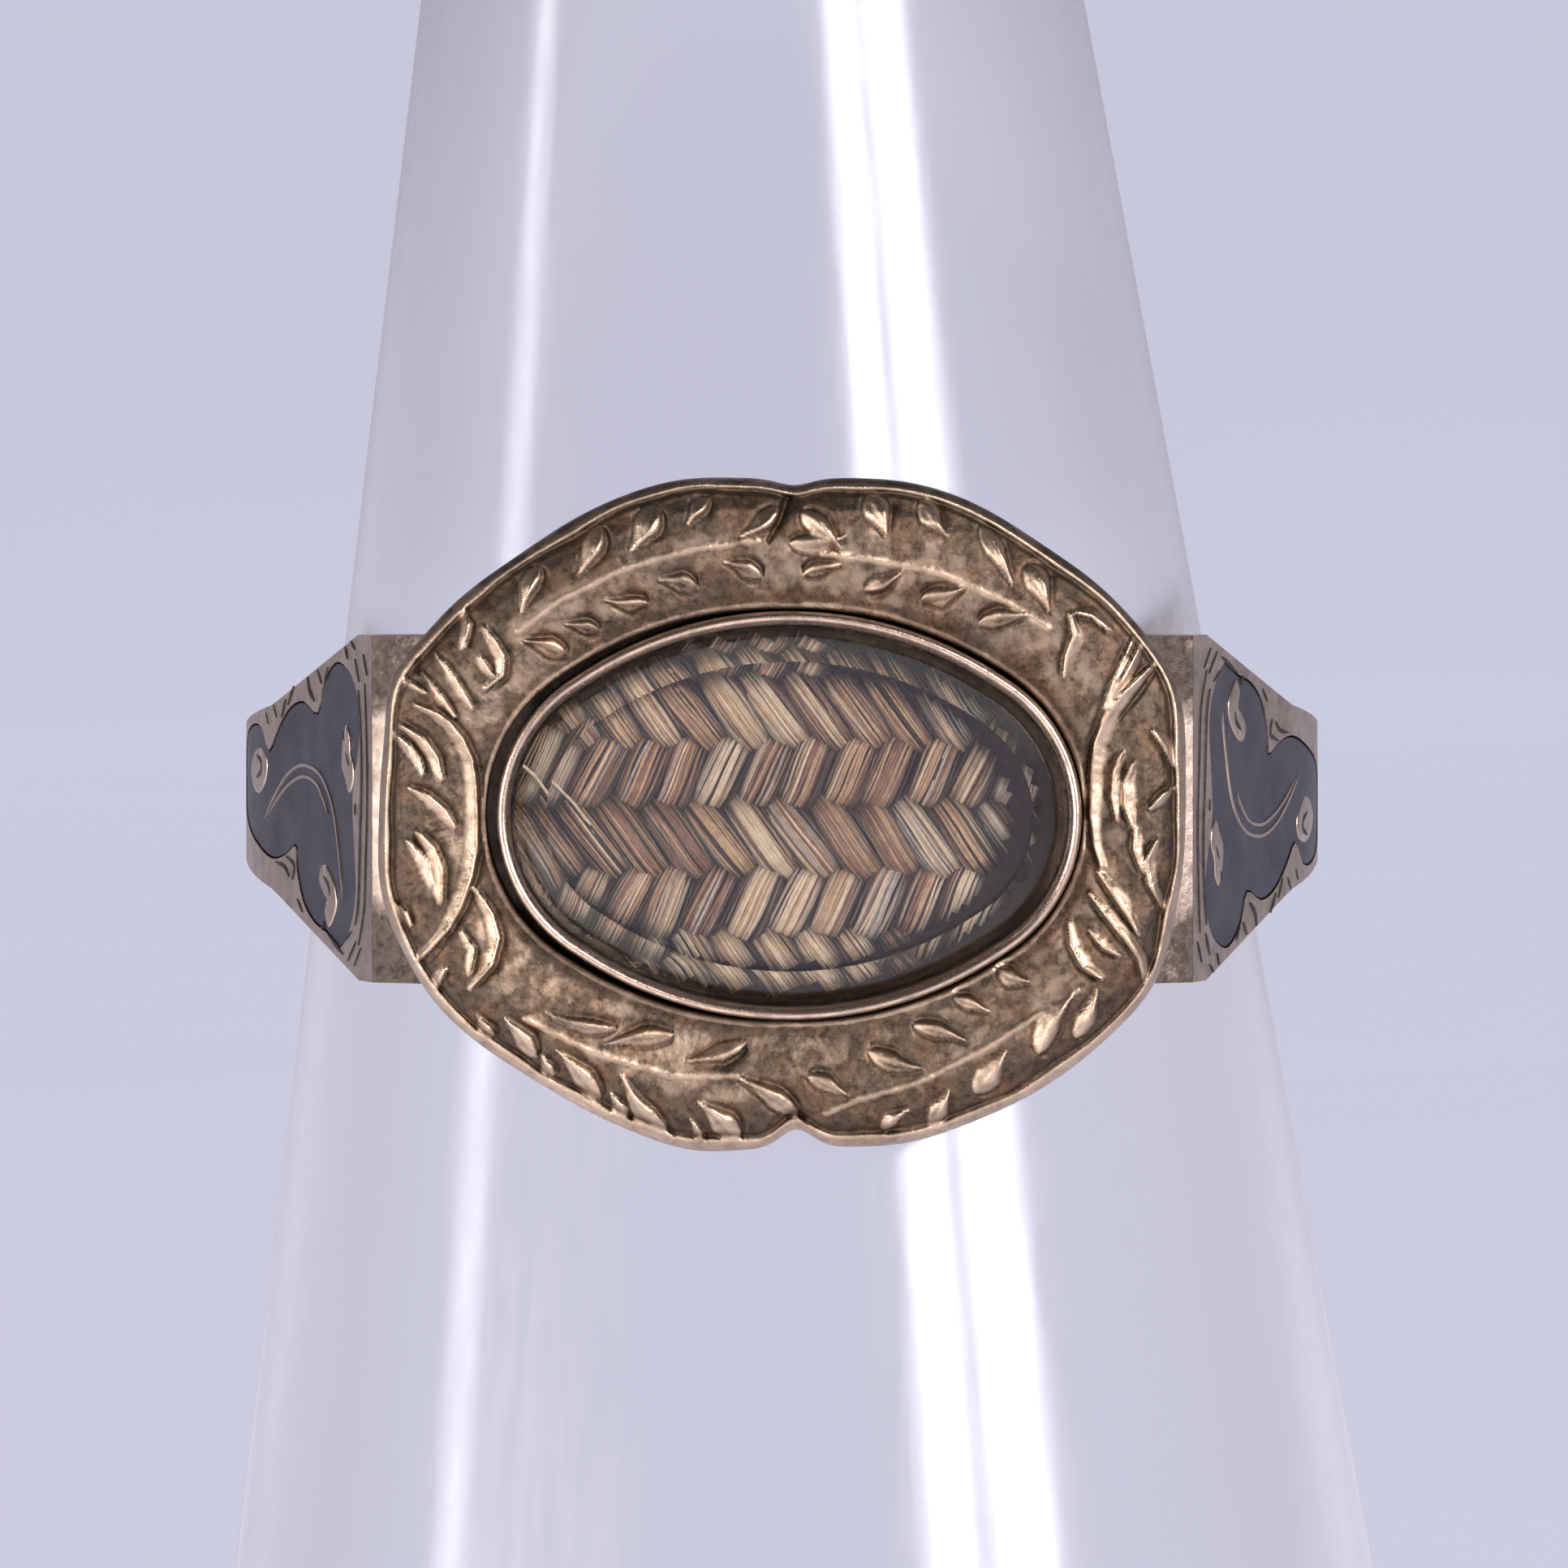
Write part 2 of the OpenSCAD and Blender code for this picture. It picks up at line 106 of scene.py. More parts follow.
def on_face(u, v, h):
    """Points over the back plate's face: u across, v up, h out from it."""
    return np.stack(np.broadcast_arrays(u, -(PLATE_FACE + np.asarray(h)), v), -1)


def round_face(a, r, h, shift=0.0):
    """Points over the face at angles a and distances r from a middle that lies shift across."""
    return on_face(r * np.cos(a) + shift, r * np.sin(a), h)


def all_round(count):
    return np.linspace(0, 2 * np.pi, count, endpoint=False)


def bell(x, mid, spread):
    """1 at mid, dying away to both sides."""
    return np.exp(-(((x - mid) / spread) ** 2))


def climb(x, start, width):
    """0 up to start, then rising evenly to 1 over width."""
    return np.clip((x - start) / width, 0, 1)


def skin(rings, sides, first=0):
    """Faces over closed rings of points, one after another, and over both ends."""
    at = first + np.arange(rings * sides).reshape(rings, sides)
    on = np.roll(at, -1, 1)
    walls = np.stack([at[:-1], on[:-1], on[1:], at[1:]], -1).reshape(-1, 4)
    return [tuple(f) for f in walls.tolist() + [at[0, ::-1].tolist(), at[-1].tolist()]]


def hoop_skin(around, section):
    """Faces over closed sections of points that stand in a closed hoop."""
    at = np.arange(around * section).reshape(around, section)
    on = np.roll(at, -1, 0)
    return np.stack([at, on, np.roll(on, -1, 1), np.roll(at, -1, 1)], -1).reshape(-1, 4).tolist()


def mesh_object(name, points, faces, materials, smooth=True, indices=None):
    mesh = bpy.data.meshes.new(name)
    mesh.from_pydata([tuple(p) for p in points], [], faces)
    for m in materials:
        mesh.materials.append(m)
    if indices is not None:
        mesh.polygons.foreach_set("material_index", np.asarray(indices, np.int32))
    mesh.polygons.foreach_set("use_smooth", np.full(len(mesh.polygons), smooth))
    mesh.update()
    obj = bpy.data.objects.new(name, mesh)
    bpy.context.scene.collection.objects.link(obj)
    return obj


def mesh_piece(name, points, faces, materials, slot, **kind):
    """A mesh object from points in metres, riding on the root body."""
    obj = mesh_object(name, points, faces, materials, **kind)
    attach(obj, "root")
    return obj


def note_points(obj, name, values):
    """A number for each point, which the material reads by its name."""
    attr = obj.data.attributes.new(name, "FLOAT", "POINT")
    attr.data.foreach_set("value", np.ravel(values).astype(np.float32))


# ---------------------------------------------------------------- materials


class Nodes:
    """Short hand for building the node tree of a material or of the world."""

    def __init__(self, owner, shader="ShaderNodeBsdfPrincipled", output="ShaderNodeOutputMaterial"):
        owner.use_nodes = True
        self.owner = owner
        self.tree = owner.node_tree
        self.tree.nodes.clear()
        out = self.tree.nodes.new(output)
        self.shader = self.tree.nodes.new(shader)
        self.put(out.inputs[0], self.shader.outputs[0])

    def put(self, socket, value):
        """Link a source to an input, or set a constant there."""
        if isinstance(value, bpy.types.NodeSocket):
            self.tree.links.new(value, socket)
        else:
            socket.default_value = (*value, 1) if socket.type == "RGBA" else value

    def node(self, kind, *first, **values):
        """A new node: values for its first inputs, and for inputs or settings by name."""
        n = self.tree.nodes.new(kind)
        for k, v in values.items():
            if k in n.inputs:
                self.put(n.inputs[k], v)
            else:
                setattr(n, k, v)
        for socket, value in zip(n.inputs, first):
            self.put(socket, value)
        return n

    def set(self, **values):
        """Values for the shader's own inputs."""
        for k, v in values.items():
            self.put(self.shader.inputs[k.replace("_", " ")], v)

    def coords(self, scale=(1, 1, 1), ring=True):
        """Object coordinates in mm, turned into the ring's frame if ring, times scale."""
        back = PLACE.inverted() if ring else Matrix.Identity(4)
        place = self.node("ShaderNodeTexCoord").outputs["Object"]
        turned = self.node(
            "ShaderNodeMapping", place, Rotation=back.to_euler(), Scale=(1 / MM, 1 / MM, 1 / MM),
            Location=back.translation)
        return self.node("ShaderNodeMapping", turned.outputs[0], Scale=scale).outputs[0]

    def noise(self, vector, scale, detail=4, rough=0.6):
        return self.node(
            "ShaderNodeTexNoise", Vector=vector, Scale=scale, Detail=detail, Roughness=rough).outputs["Fac"]

    def attribute(self, name):
        return self.node("ShaderNodeAttribute", attribute_name=name).outputs["Fac"]

    def axes(self, vector):
        return self.node("ShaderNodeSeparateXYZ", vector).outputs

    def ramp(self, share, stops):
        r = self.node("ShaderNodeValToRGB", share)
        while len(r.color_ramp.elements) < len(stops):
            r.color_ramp.elements.new(0.5)
        for e, (at, colour) in zip(r.color_ramp.elements, stops):
            e.position, e.color = at, (*colour, 1)
        return r.outputs[0]

    def mix(self, share, a, b, blend="MIX"):
        m = self.node("ShaderNodeMix", share, data_type="RGBA", blend_type=blend)
        self.put(m.inputs[6], a)
        self.put(m.inputs[7], b)
        return m.outputs[2]

    def math(self, op, a, b=0.0, clamp=False):
        return self.node("ShaderNodeMath", a, b, operation=op, use_clamp=clamp).outputs[0]

    def span(self, value, lo, hi, to_lo=0.0, to_hi=1.0):
        return self.node("ShaderNodeMapRange", value, lo, hi, to_lo, to_hi).outputs[0]

    def bump(self, height, strength, distance):
        b = self.node("ShaderNodeBump", Strength=strength, Distance=distance, Height=height)
        self.set(Normal=b.outputs[0])


def material(name):
    return Nodes(bpy.data.materials.new(name))


# What rusty polish does to the patina's colour, and what dark specks leave of it
RUST = (1.75, 1.3, 1.0)
SPECK = 0.4


def gold(name, light, dark, rough, bump, low=None, rust=0.0):
    """Old gold: worn bright on high places, dull in the low ones. low makes the patina's mask, which also carries
    painted shade for the border and the shank.
    """
    n = material(name)
    c = n.coords()
    smear = n.noise(c, 3.6)
    grain = n.noise(c, 16, 6, 0.7)
    cover = n.math("MULTIPLY", n.span(n.noise(c, 0.9, 5, 0.65), 0.38, 0.66), 0.35)
    cover = n.math("ADD", cover, n.math("MULTIPLY", n.span(smear, 0.45, 0.75), 0.25), clamp=True)
    if low:
        cover = n.math("ADD", cover, low(n, c), clamp=True)
    rusty = n.span(n.noise(c, 1.7, 3, 0.5), 0.4, 0.65, 0, rust)
    ground = n.mix(rusty, dark, tuple(x * y for x, y in zip(dark, RUST)))
    speck = n.span(n.noise(c, 5.0, 6, 0.8), 0.36, 0.56)
    ground = n.mix(speck, tuple(x * SPECK for x in dark), ground)
    worn = n.math("ADD", n.math("MULTIPLY", cover, 0.7), n.math("MULTIPLY", grain, 0.3))
    n.set(
        Base_Color=n.mix(cover, light, ground), Metallic=1.0, IOR=1.5,
        Roughness=n.span(worn, 0.1, 0.85, *rough))
    n.bump(n.math("ADD", grain, n.math("MULTIPLY", smear, 1.2)), bump, 0.00004)
    return n.owner


def border_patina_and_shade(n, c):
    """What make_border() wrote of how low each place lies, with painted shade on the outer lip along the top of
    the head.
    """
    return n.attribute("low")


def in_ring(n, c):
    """Outwards and up in the ring's own frame, as two sockets."""
    axes = n.axes(c)
    return n.math("MULTIPLY", axes[1], -1.0), axes[2]


def shank_polish_and_shade(n, c):
    """Dark polish on the faces beside the head, and painted shade that darkens them more towards their upper and
    lower ends, where the head overhangs.
    """
    out, up = in_ring(n, c)
    beside = n.span(out, -CORNER[1] - 0.05, -CORNER[1])
    # Painted shade towards the ends, where the head overhangs these faces
    ends = n.span(n.math("ABSOLUTE", up), 1.5, 2.1, 0.3, 1.05)
    mottle = n.span(n.noise(c, 6.0, 6, 0.85), 0.4, 0.6, 0.72, 1.0)
    return n.math("MULTIPLY", n.math("MULTIPLY", beside, ends), mottle)


def rim_low(n, c):
    """Dark below the rim's bright top edge."""
    out, _ = in_ring(n, c)
    return n.span(out, PLATE_FACE + RIM_RISE - 0.3, PLATE_FACE + RIM_RISE - 0.1, 0.8, 0.0)


border_gold = gold(
    "border_gold", (0.675, 0.495, 0.365), (0.115, 0.084, 0.063), (0.2, 0.5), 0.35, border_patina_and_shade, 0.62)
rose_gold = gold("rose_gold", (0.62, 0.475, 0.395), (0.10, 0.078, 0.065), (0.26, 0.5), 0.35, shank_polish_and_shade)
rim_gold = gold("rim_gold", (0.74, 0.55, 0.44), (0.09, 0.065, 0.05), (0.18, 0.45), 0.2, rim_low)
wire_gold = gold("wire_gold", (0.62, 0.48, 0.38), (0.36, 0.28, 0.23), (0.24, 0.42), 0.1)


def hair_material(name, light, dark, shine=0.5):
    """One colour of hair, a little uneven, darkened by painted shade where hairs dive under others, near the
    well's edge and at a strand's sides.
    """
    n = material(name)
    c = n.coords()
    uneven = n.mix(n.span(n.noise(c, 7.0, 4, 0.7), 0.3, 0.7), dark, light)
    n.set(
        Base_Color=n.mix(n.attribute("painted_shade"), uneven, (0.07, 0.036, 0.02)), Roughness=0.36, IOR=1.5,
        Specular_IOR_Level=shine)
    n.bump(n.noise(c, 30.0, 3), 0.15, 0.00002)
    return n.owner


HAIRS = [
    hair_material("hair_pale", (1.0, 0.80, 0.56), (0.76, 0.54, 0.34)),
    hair_material("hair_tan", (0.76, 0.48, 0.28), (0.46, 0.27, 0.14)),
    hair_material("hair_brown", (0.44, 0.215, 0.12), (0.22, 0.10, 0.055)),
    hair_material("hair_ash", (0.70, 0.58, 0.49), (0.42, 0.33, 0.27)),
    hair_material("hair_dark", (0.10, 0.055, 0.035), (0.05, 0.028, 0.018), 0.15),
]
PALE, DARK = 0, 4


def etched_material():
    """Lines cut into the gold, dark with old polish."""
    n = material("engraved_dark")
    c = n.coords()
    blotch = n.span(n.noise(c, 6.0, 3), 0.35, 0.65)
    n.set(Base_Color=n.mix(blotch, (0.018, 0.014, 0.012), (0.07, 0.055, 0.048)), Metallic=0.6, Roughness=0.55)
    n.bump(n.noise(c, 20.0, 3), 0.2, 0.00002)
    return n.owner


def enamel_material():
    n = material("slate_enamel")
    c = n.coords()
    cloud, speck = n.noise(c, 1.3), n.noise(c, 22.0, 5, 0.75)
    n.set(
        Base_Color=n.mix(n.span(cloud, 0.35, 0.7), (0.020, 0.018, 0.028), (0.040, 0.036, 0.052)),
        Roughness=n.span(speck, 0.3, 0.8, 0.3, 0.55), IOR=1.5, Specular_IOR_Level=0.36)
    n.bump(speck, 0.2, 0.00002)
    return n.owner


def crystal_material():
    n = material("crystal_glass")
    n.set(Base_Color=(0.97, 0.98, 1.0), Roughness=0.0, IOR=1.5, Transmission_Weight=1.0)
    n.bump(n.noise(n.coords(), 2.2, 3, 0.5), 0.02, 0.00002)
    return n.owner


def acrylic_material():
    """Clear thick plastic, its colour greyed where the surface turns away from view, as painted shade for the
    dark sides that its edges refract.
    """
    n = material("clear_acrylic")
    c = n.coords((1, 1, 0.04), ring=False)
    facing = n.node("ShaderNodeLayerWeight", Blend=0.5).outputs["Facing"]
    # Painted shade: the colour goes grey where the surface turns away from view
    n.set(
        Base_Color=n.mix(n.span(facing, 0.3, 0.8), (0.955, 0.955, 0.968), (0.62, 0.61, 0.64)),
        Roughness=n.span(n.noise(c, 2.4), 0.3, 0.8, 0.1, 0.22), IOR=1.45, Transmission_Weight=1.0)
    n.bump(n.noise(c, 9.0, 5, 0.7), 0.04, 0.00003)
    return n.owner


enamel_dark = enamel_material()
engraved_dark = etched_material()
crystal_glass = crystal_material()
clear_acrylic = acrylic_material()

# ---------------------------------------------------------------- the border


def ray_circle(a, cx, cy, r):
    b = cx * np.cos(a) + cy * np.sin(a)
    return b + np.sqrt(np.maximum(b * b - cx * cx - cy * cy + r * r, 0))


def oval_reach(a, grow):
    """Distance from the middle to the rim's four-arc oval, grown by grow."""
    b = np.arctan2(np.abs(np.sin(a)), np.abs(np.cos(a)))
    end = ray_circle(b, END_X + TUCK, 0, RIM_END_R + grow)
    long_arc = ray_circle(b, 0, -LONG_Y, LONG_R + grow)
    in_end = (end * np.cos(b) - END_X) * LONG_Y > end * np.sin(b) * END_X
    return np.where(in_end, end, np.maximum(end, long_arc))


def outline(a):
    cushion = (
        (np.abs(np.cos(a)) * 2 / HEAD_W) ** SQUARENESS + (np.abs(np.sin(a)) * 2 / HEAD_H) ** SQUARENESS
    ) ** (-1 / SQUARENESS)
    share = np.zeros_like(a)
    for angle, height, spread in WAVES:
        off = (np.degrees(a) - angle + 540) % 360 - 180
        share = share + height * bell(off, 0, spread)
    return cushion * (1 + share)


def section_height(t):
    """The border's plain height over the back plate at a share across, with its corners eased."""
    fine = np.linspace(-0.05, 1.05, 441)
    kernel = bell(np.linspace(-2, 2, 17), 0, 1)
    h = np.pad(np.interp(fine, *np.array(SECTION).T), len(kernel) // 2, mode="edge")
    return BORDER_T * np.interp(t, fine, np.convolve(h, kernel / kernel.sum(), mode="valid"))


# Laurel leaves, base then tip
LEAVES = [
    # top right, outer side then inner side
    ((1030, 672), (980, 625)), ((1085, 655), (1063, 603)), ((1160, 655), (1128, 608)),
    ((1240, 715), (1200, 642)), ((1285, 748), (1258, 688)),
    ((1035, 655), (965, 664)), ((1030, 690), (982, 702)), ((1105, 698), (1058, 722)),
    ((1182, 718), (1128, 732)), ((1262, 752), (1198, 762)),
    # top left
    ((905, 655), (952, 620)), ((840, 640), (866, 608)), ((770, 672), (802, 618)),
    ((705, 702), (732, 642)), ((635, 748), (657, 692)),
    ((885, 686), (932, 706)), ((803, 708), (852, 718)), ((738, 733), (792, 737)),
    ((688, 763), (732, 772)), ((638, 783), (692, 802)),
    # bottom left
    ((580, 1245), (600, 1275)), ((613, 1248), (652, 1298)), ((678, 1288), (732, 1352)),
    ((660, 1295), (674, 1322)), ((744, 1342), (762, 1380)), ((843, 1374), (857, 1403)),
    ((758, 1318), (817, 1402)), ((853, 1353), (903, 1402)), ((903, 1323), (977, 1370)),
    ((660, 1240), (752, 1262)), ((738, 1282), (822, 1270)), ((838, 1302), (912, 1280)),
    # bottom right
    ((1112, 1362), (1078, 1388)), ((1162, 1338), (1138, 1382)), ((1232, 1288), (1193, 1342)),
    ((1316, 1218), (1271, 1294)), ((1345, 1212), (1318, 1274)),
    ((1040, 1347), (988, 1320)), ((1132, 1312), (1063, 1290)), ((1182, 1277), (1118, 1258)),
    ((1212, 1242), (1168, 1224)), ((1262, 1205), (1222, 1190)),
]
# Width and rise in mm of the leaves beside the outer edge, and of those beside the crystal, and how far
# wear has brightened them
OUTER_LEAF = (0.5, 0.165, 0.95)
INNER_LEAF = (0.38, 0.11, 0.7)
# A leaf is widest at this share of its length. Its broad flank faces this direction, and its crest lies
# this share of the half width beyond the middle
WIDEST = 0.57
FLANK_SIDE = np.array([-0.95, -0.25])
CREST = 0.3
# A leaf's vein, as a share of the half width from the middle
VEIN = -0.25
# Stems between the rows of leaves
STEMS = [
    [(1284, 768), (1230, 735), (1150, 700), (1060, 682), (1005, 676)],
    [(632, 772), (680, 735), (760, 695), (850, 670), (925, 660)],
    [(640, 1250), (720, 1290), (820, 1320), (900, 1320), (950, 1345)],
    [(1320, 1215), (1290, 1235), (1200, 1290), (1120, 1330), (1050, 1350), (1010, 1368)],
]
# Raised ridges: width and rise in mm, then the points of each
RIDGES = [
    # left lobe: its C, the lines beside it, and the two groups of strokes inside
    (0.2, 0.13, [
        (505, 862), (525, 870), (545, 884), (562, 905), (573, 930), (578, 965), (579, 1000), (579, 1040),
        (572, 1075), (560, 1110), (545, 1137), (525, 1160), (500, 1184)]),
    (0.11, 0.08, [(530, 800), (547, 822), (561, 845), (575, 868)]),
    (0.11, 0.07, [(513, 822), (532, 848), (553, 878)]),
    (0.12, 0.09, [(488, 832), (503, 838), (517, 848)]),
    (0.16, 0.1, [(478, 898), (495, 912), (507, 928), (513, 948)]),
    (0.18, 0.11, [(487, 888), (512, 903), (530, 928), (537, 955)]),
    (0.16, 0.1, [(498, 965), (520, 975), (540, 993), (553, 1014)]),
    (0.16, 0.1, [(495, 1030), (508, 1045), (518, 1062), (524, 1085)]),
    (0.2, 0.12, [(508, 1020), (526, 1040), (535, 1065), (536, 1105)]),
    (0.14, 0.1, [(478, 1108), (490, 1120), (498, 1135)]),
    # right lobe
    (0.2, 0.13, [
        (1420, 808), (1398, 828), (1375, 850), (1355, 880), (1343, 910), (1338, 950), (1337, 1000),
        (1341, 1035), (1350, 1062)]),
    (0.16, 0.12, [(1345, 1068), (1365, 1095), (1385, 1125), (1395, 1145)]),
    (0.18, 0.12, [(1335, 1095), (1355, 1120), (1380, 1150), (1398, 1175), (1405, 1210)]),
    (0.14, 0.1, [(1388, 782), (1372, 818), (1352, 868)]),
    (0.16, 0.1, [(1374, 922), (1366, 945), (1364, 975), (1369, 1005)]),
    (0.18, 0.12, [(1388, 935), (1379, 960), (1380, 985), (1388, 1012)]),
    (0.16, 0.11, [(1392, 1015), (1391, 1040), (1401, 1068)]),
    (0.16, 0.11, [(1418, 1030), (1406, 1055), (1411, 1085), (1425, 1112)]),
    (0.16, 0.1, [(1413, 895), (1430, 915), (1440, 940)]),
    (0.14, 0.09, [(1410, 990), (1425, 975), (1440, 965)]),
    # corner leaves
    (0.15, 0.1, [(560, 742), (569, 762), (563, 792)]),
    (0.16, 0.11, [(590, 768), (604, 788), (613, 805), (612, 825), (592, 842)]),
    (0.12, 0.07, [(584, 805), (598, 826)]),
    (0.16, 0.11, [(576, 1088), (598, 1120), (606, 1150), (598, 1182), (572, 1212)]),
    (0.12, 0.08, [(560, 1142), (575, 1165), (570, 1195)]),
    (0.16, 0.12, [(541, 1188), (531, 1205), (524, 1222)]),
    (0.16, 0.12, [(1311, 751), (1317, 777), (1307, 803), (1303, 829)]),
    (0.14, 0.09, [(1319, 749), (1338, 752), (1360, 770)]),
    (0.18, 0.12, [(1397, 792), (1372, 838), (1348, 886)]),
    (0.15, 0.1, [(1310, 1130), (1314, 1160), (1328, 1185), (1350, 1200)]),
    (0.12, 0.08, [(1335, 1140), (1352, 1160), (1372, 1172)]),
]
# Engraved lines and the notches of the outline
GROOVES = [
    (0.24, 0.3, [(968, 582), (964, 608), (954, 636), (940, 660)]),
    (0.2, 0.22, [(990, 1402), (984, 1380), (975, 1360)]),
    (0.16, 0.12, [(500, 800), (512, 820), (530, 850), (550, 880)]),
    (0.16, 0.12, [(1425, 800), (1400, 845), (1372, 880)]),
    (0.16, 0.12, [(500, 1192), (525, 1175), (545, 1152)]),
    (0.16, 0.12, [(1418, 1195), (1400, 1165), (1370, 1110)]),
]
# Width and depth of a stroke of hatching, and groups of them: first stroke, last stroke, count
HATCH = (0.05, 0.03)
HATCHING = [
    (((474, 1056), (506, 1026)), ((488, 1108), (524, 1072)), 7),
    (((480, 922), (502, 904)), ((490, 958), (516, 936)), 5),
    (((520, 1000), (542, 996)), ((526, 1030), (550, 1024)), 4),
    (((1350, 824), (1362, 846)), ((1374, 812), (1384, 832)), 5),
    (((1408, 936), (1424, 908)), ((1414, 966), (1436, 936)), 5),
    (((1404, 1096), (1420, 1070)), ((1418, 1130), (1434, 1106)), 5),
    (((560, 1140), (580, 1128)), ((572, 1186), (594, 1170)), 6),
    (((1338, 1136), (1350, 1160)), ((1372, 1150), (1380, 1170)), 5),
    (((538, 806), (552, 834)), ((560, 792), (572, 814)), 4),
]
for first, last, count in HATCHING:
    for k in range(count):
        share = k / (count - 1)
        GROOVES.append((*HATCH, [
            tuple(p + (q - p) * share for p, q in zip(start, end)) for start, end in zip(first, last)]))


def to_path(u, v, path):
    """How far each point is from a path, where along it the nearest point lies, whether it is further out."""
    p = np.array([on_head(*q) for q in path])
    seg = np.linalg.norm(np.diff(p, axis=0), axis=1)
    start = np.concatenate([[0], np.cumsum(seg)])
    best = np.full(u.shape, 1e9)
    where = np.zeros(u.shape)
    outer = np.zeros(u.shape, bool)
    for i in range(len(seg)):
        d = (p[i + 1] - p[i]) / seg[i]
        s = np.clip((u - p[i, 0]) * d[0] + (v - p[i, 1]) * d[1], 0, seg[i])
        x, y = p[i, 0] + s * d[0], p[i, 1] + s * d[1]
        off = np.hypot(u - x, v - y)
        near = off < best
        best[near] = off[near]
        where[near] = (start[i] + s[near]) / start[-1]
        outer[near] = (u * u + v * v > x * x + y * y)[near]
    return best, where, outer


# How much old polish lies on the plain ground
GROUND_POLISH = 0.66
# A ridge's slow side is this many times as wide as its steep one
SLOPE_SHARE = 2.5
# Depth and width in mm of the cut along a leaf's steep side, of the line along its flank's foot, and of the
# hollow beside a ridge
LEAF_CUT, LEAF_LINE, HOLLOW = (0.075, 0.085), (0.04, 0.045), (0.07, 0.08)
# Rise and half width of a stem
STEM = (0.035, 0.08)
# The rolled outer edge before ROLL narrows it: mm in from the outline, share of the border's thickness
EDGE = [
    (0, 0.56), (0.02, 0.64), (0.05, 0.68), (0.2, 0.775), (0.25, 0.79), (0.3, 0.775), (0.36, 0.755), (0.42, 0.77),
    (0.52, 0.86),
]
# Share of that width which the roll has, and what more of it there is along the bottom
ROLL = 0.6
LOW_ROLL = 0.2
# Gap between the border and the rim above and below, and what more of it there is on the left
OPENING_GAP = 0.035
LEFT_GAP = 0.05
# Unevenness that the hand leaves: how fine it is, a seed, its rise in mm
HAND = [(0.9, 3, 0.025), (3.1, 7, 0.014), (8.0, 11, 0.010)]
# Points of the border's mesh around and across
BORDER_MESH = (1290, 60)


def relief(u, v):
    """Height of the chased ornament over the border's plain surface, and how low each place lies."""
    up, down, dull = np.zeros((3, *u.shape))
    for i, (base, tip) in enumerate(LEAVES):
        b, t = np.array(on_head(*base)), np.array(on_head(*tip))
        length = np.linalg.norm(t - b)
        d = (t - b) / length
        across = np.array([-d[1], d[0]])
        if across @ FLANK_SIDE > 0:
            across = -across
        width, rise, worn = OUTER_LEAF if np.linalg.norm(t) > np.linalg.norm(b) else INNER_LEAF
        width = min(width, 0.62 * length)
        s = ((u - b[0]) * d[0] + (v - b[1]) * d[1]) / length
        side = (u - b[0]) * across[0] + (v - b[1]) * across[1]
        side = side - 0.07 * length * math.sin(2.1 * i + 0.4) * np.sin(np.pi * np.clip(s, 0, 1))
        rear = 0.12 + 0.88 * climb(s, 0, WIDEST) ** 1.15
        fore = np.sqrt(np.clip(1 - climb(s, WIDEST, 1 - WIDEST) ** 2, 0, 1))
        half = width / 2 * (0.92 + 0.16 * math.sin(1.7 * i)) * np.where(s < WIDEST, rear, fore)
        inside = (s > 0) & (s < 1)
        q = np.where(inside, side / np.maximum(half, 1e-4), 9)
        flank = climb(q, -1, 1 + CREST)
        flank = flank + 0.12 * np.sin(np.pi * flank)
        far = 1 - climb(q, CREST, 1 - CREST) ** 1.5
        body = np.where(q < CREST, flank, far) * np.sin(np.pi * np.clip(s * 0.86 + 0.1, 0, 1)) ** 0.6
        vein = bell(q, VEIN, 0.16) * np.clip(np.minimum(s / 0.2, (0.85 - s) / 0.15), 0, 1)
        on_leaf = np.abs(q) < 1
        up = np.maximum(up, np.where(on_leaf, rise * (body * (1 - 0.16 * vein)), 0))
        dull = np.maximum(dull, np.where(on_leaf, 1 - worn + 0.3 * vein, 0))
        beyond = np.where(inside, side - half, 9)
        before = np.where(inside, -side - half, 9)
        cut = LEAF_CUT[0] * bell(beyond, 0, LEAF_CUT[1]) * (beyond > -0.05) * np.clip(s * 1.6, 0, 1)
        line = LEAF_LINE[0] * bell(before, 0, LEAF_LINE[1]) * (before > -0.01)
        down = np.maximum(down, np.maximum(cut, line))
    for path in STEMS:
        off, _, _ = to_path(u, v, path)
        up = np.maximum(up, STEM[0] * np.maximum(1 - (off / STEM[1]) ** 2, 0))
    for width, rise, path in RIDGES:
        # Steep on the crystal's side, with a hollow there, and falling slowly outwards
        off, along, outer = to_path(u, v, path)
        w = width / 2 * (0.35 + 0.65 * np.sin(np.pi * np.clip(along * 0.9 + 0.05, 0, 1)))
        steep = np.maximum(1 - (off / w) ** 1.8, 0)
        slow = np.maximum(1 - off / (w * SLOPE_SHARE), 0) ** 1.3
        up = np.maximum(up, rise * np.where(outer, slow, steep))
        hollow = HOLLOW[0] * bell(off, w, HOLLOW[1]) * (off > w * 0.8) * ~outer
        down = np.maximum(down, hollow * np.clip(np.minimum(along, 1 - along) * 8 + 0.2, 0, 1))
    for width, depth, path in GROOVES:
        off, along, _ = to_path(u, v, path)
        w = width / 2 * (1.05 - 0.75 * along)
        down = np.maximum(down, depth * (1 - 0.6 * along) * bell(off, 0, w))
    # A shallow cut hardly marks what stands up, and a deep one goes through it
    bite = np.clip(0.35 + 0.65 * (down - 0.1) / 0.08, 0.35, 1)
    height = up - down * np.where(up > 0.02, bite, 1)
    # Old polish lies over the plain ground and thickest in the cuts, and is worn off what stands up
    low = np.clip(GROUND_POLISH - up / 0.07, 0, 1) + climb(down, 0, 0.08) * np.clip(1 - up / 0.05, 0, 1)
    return height, np.maximum(low, dull)


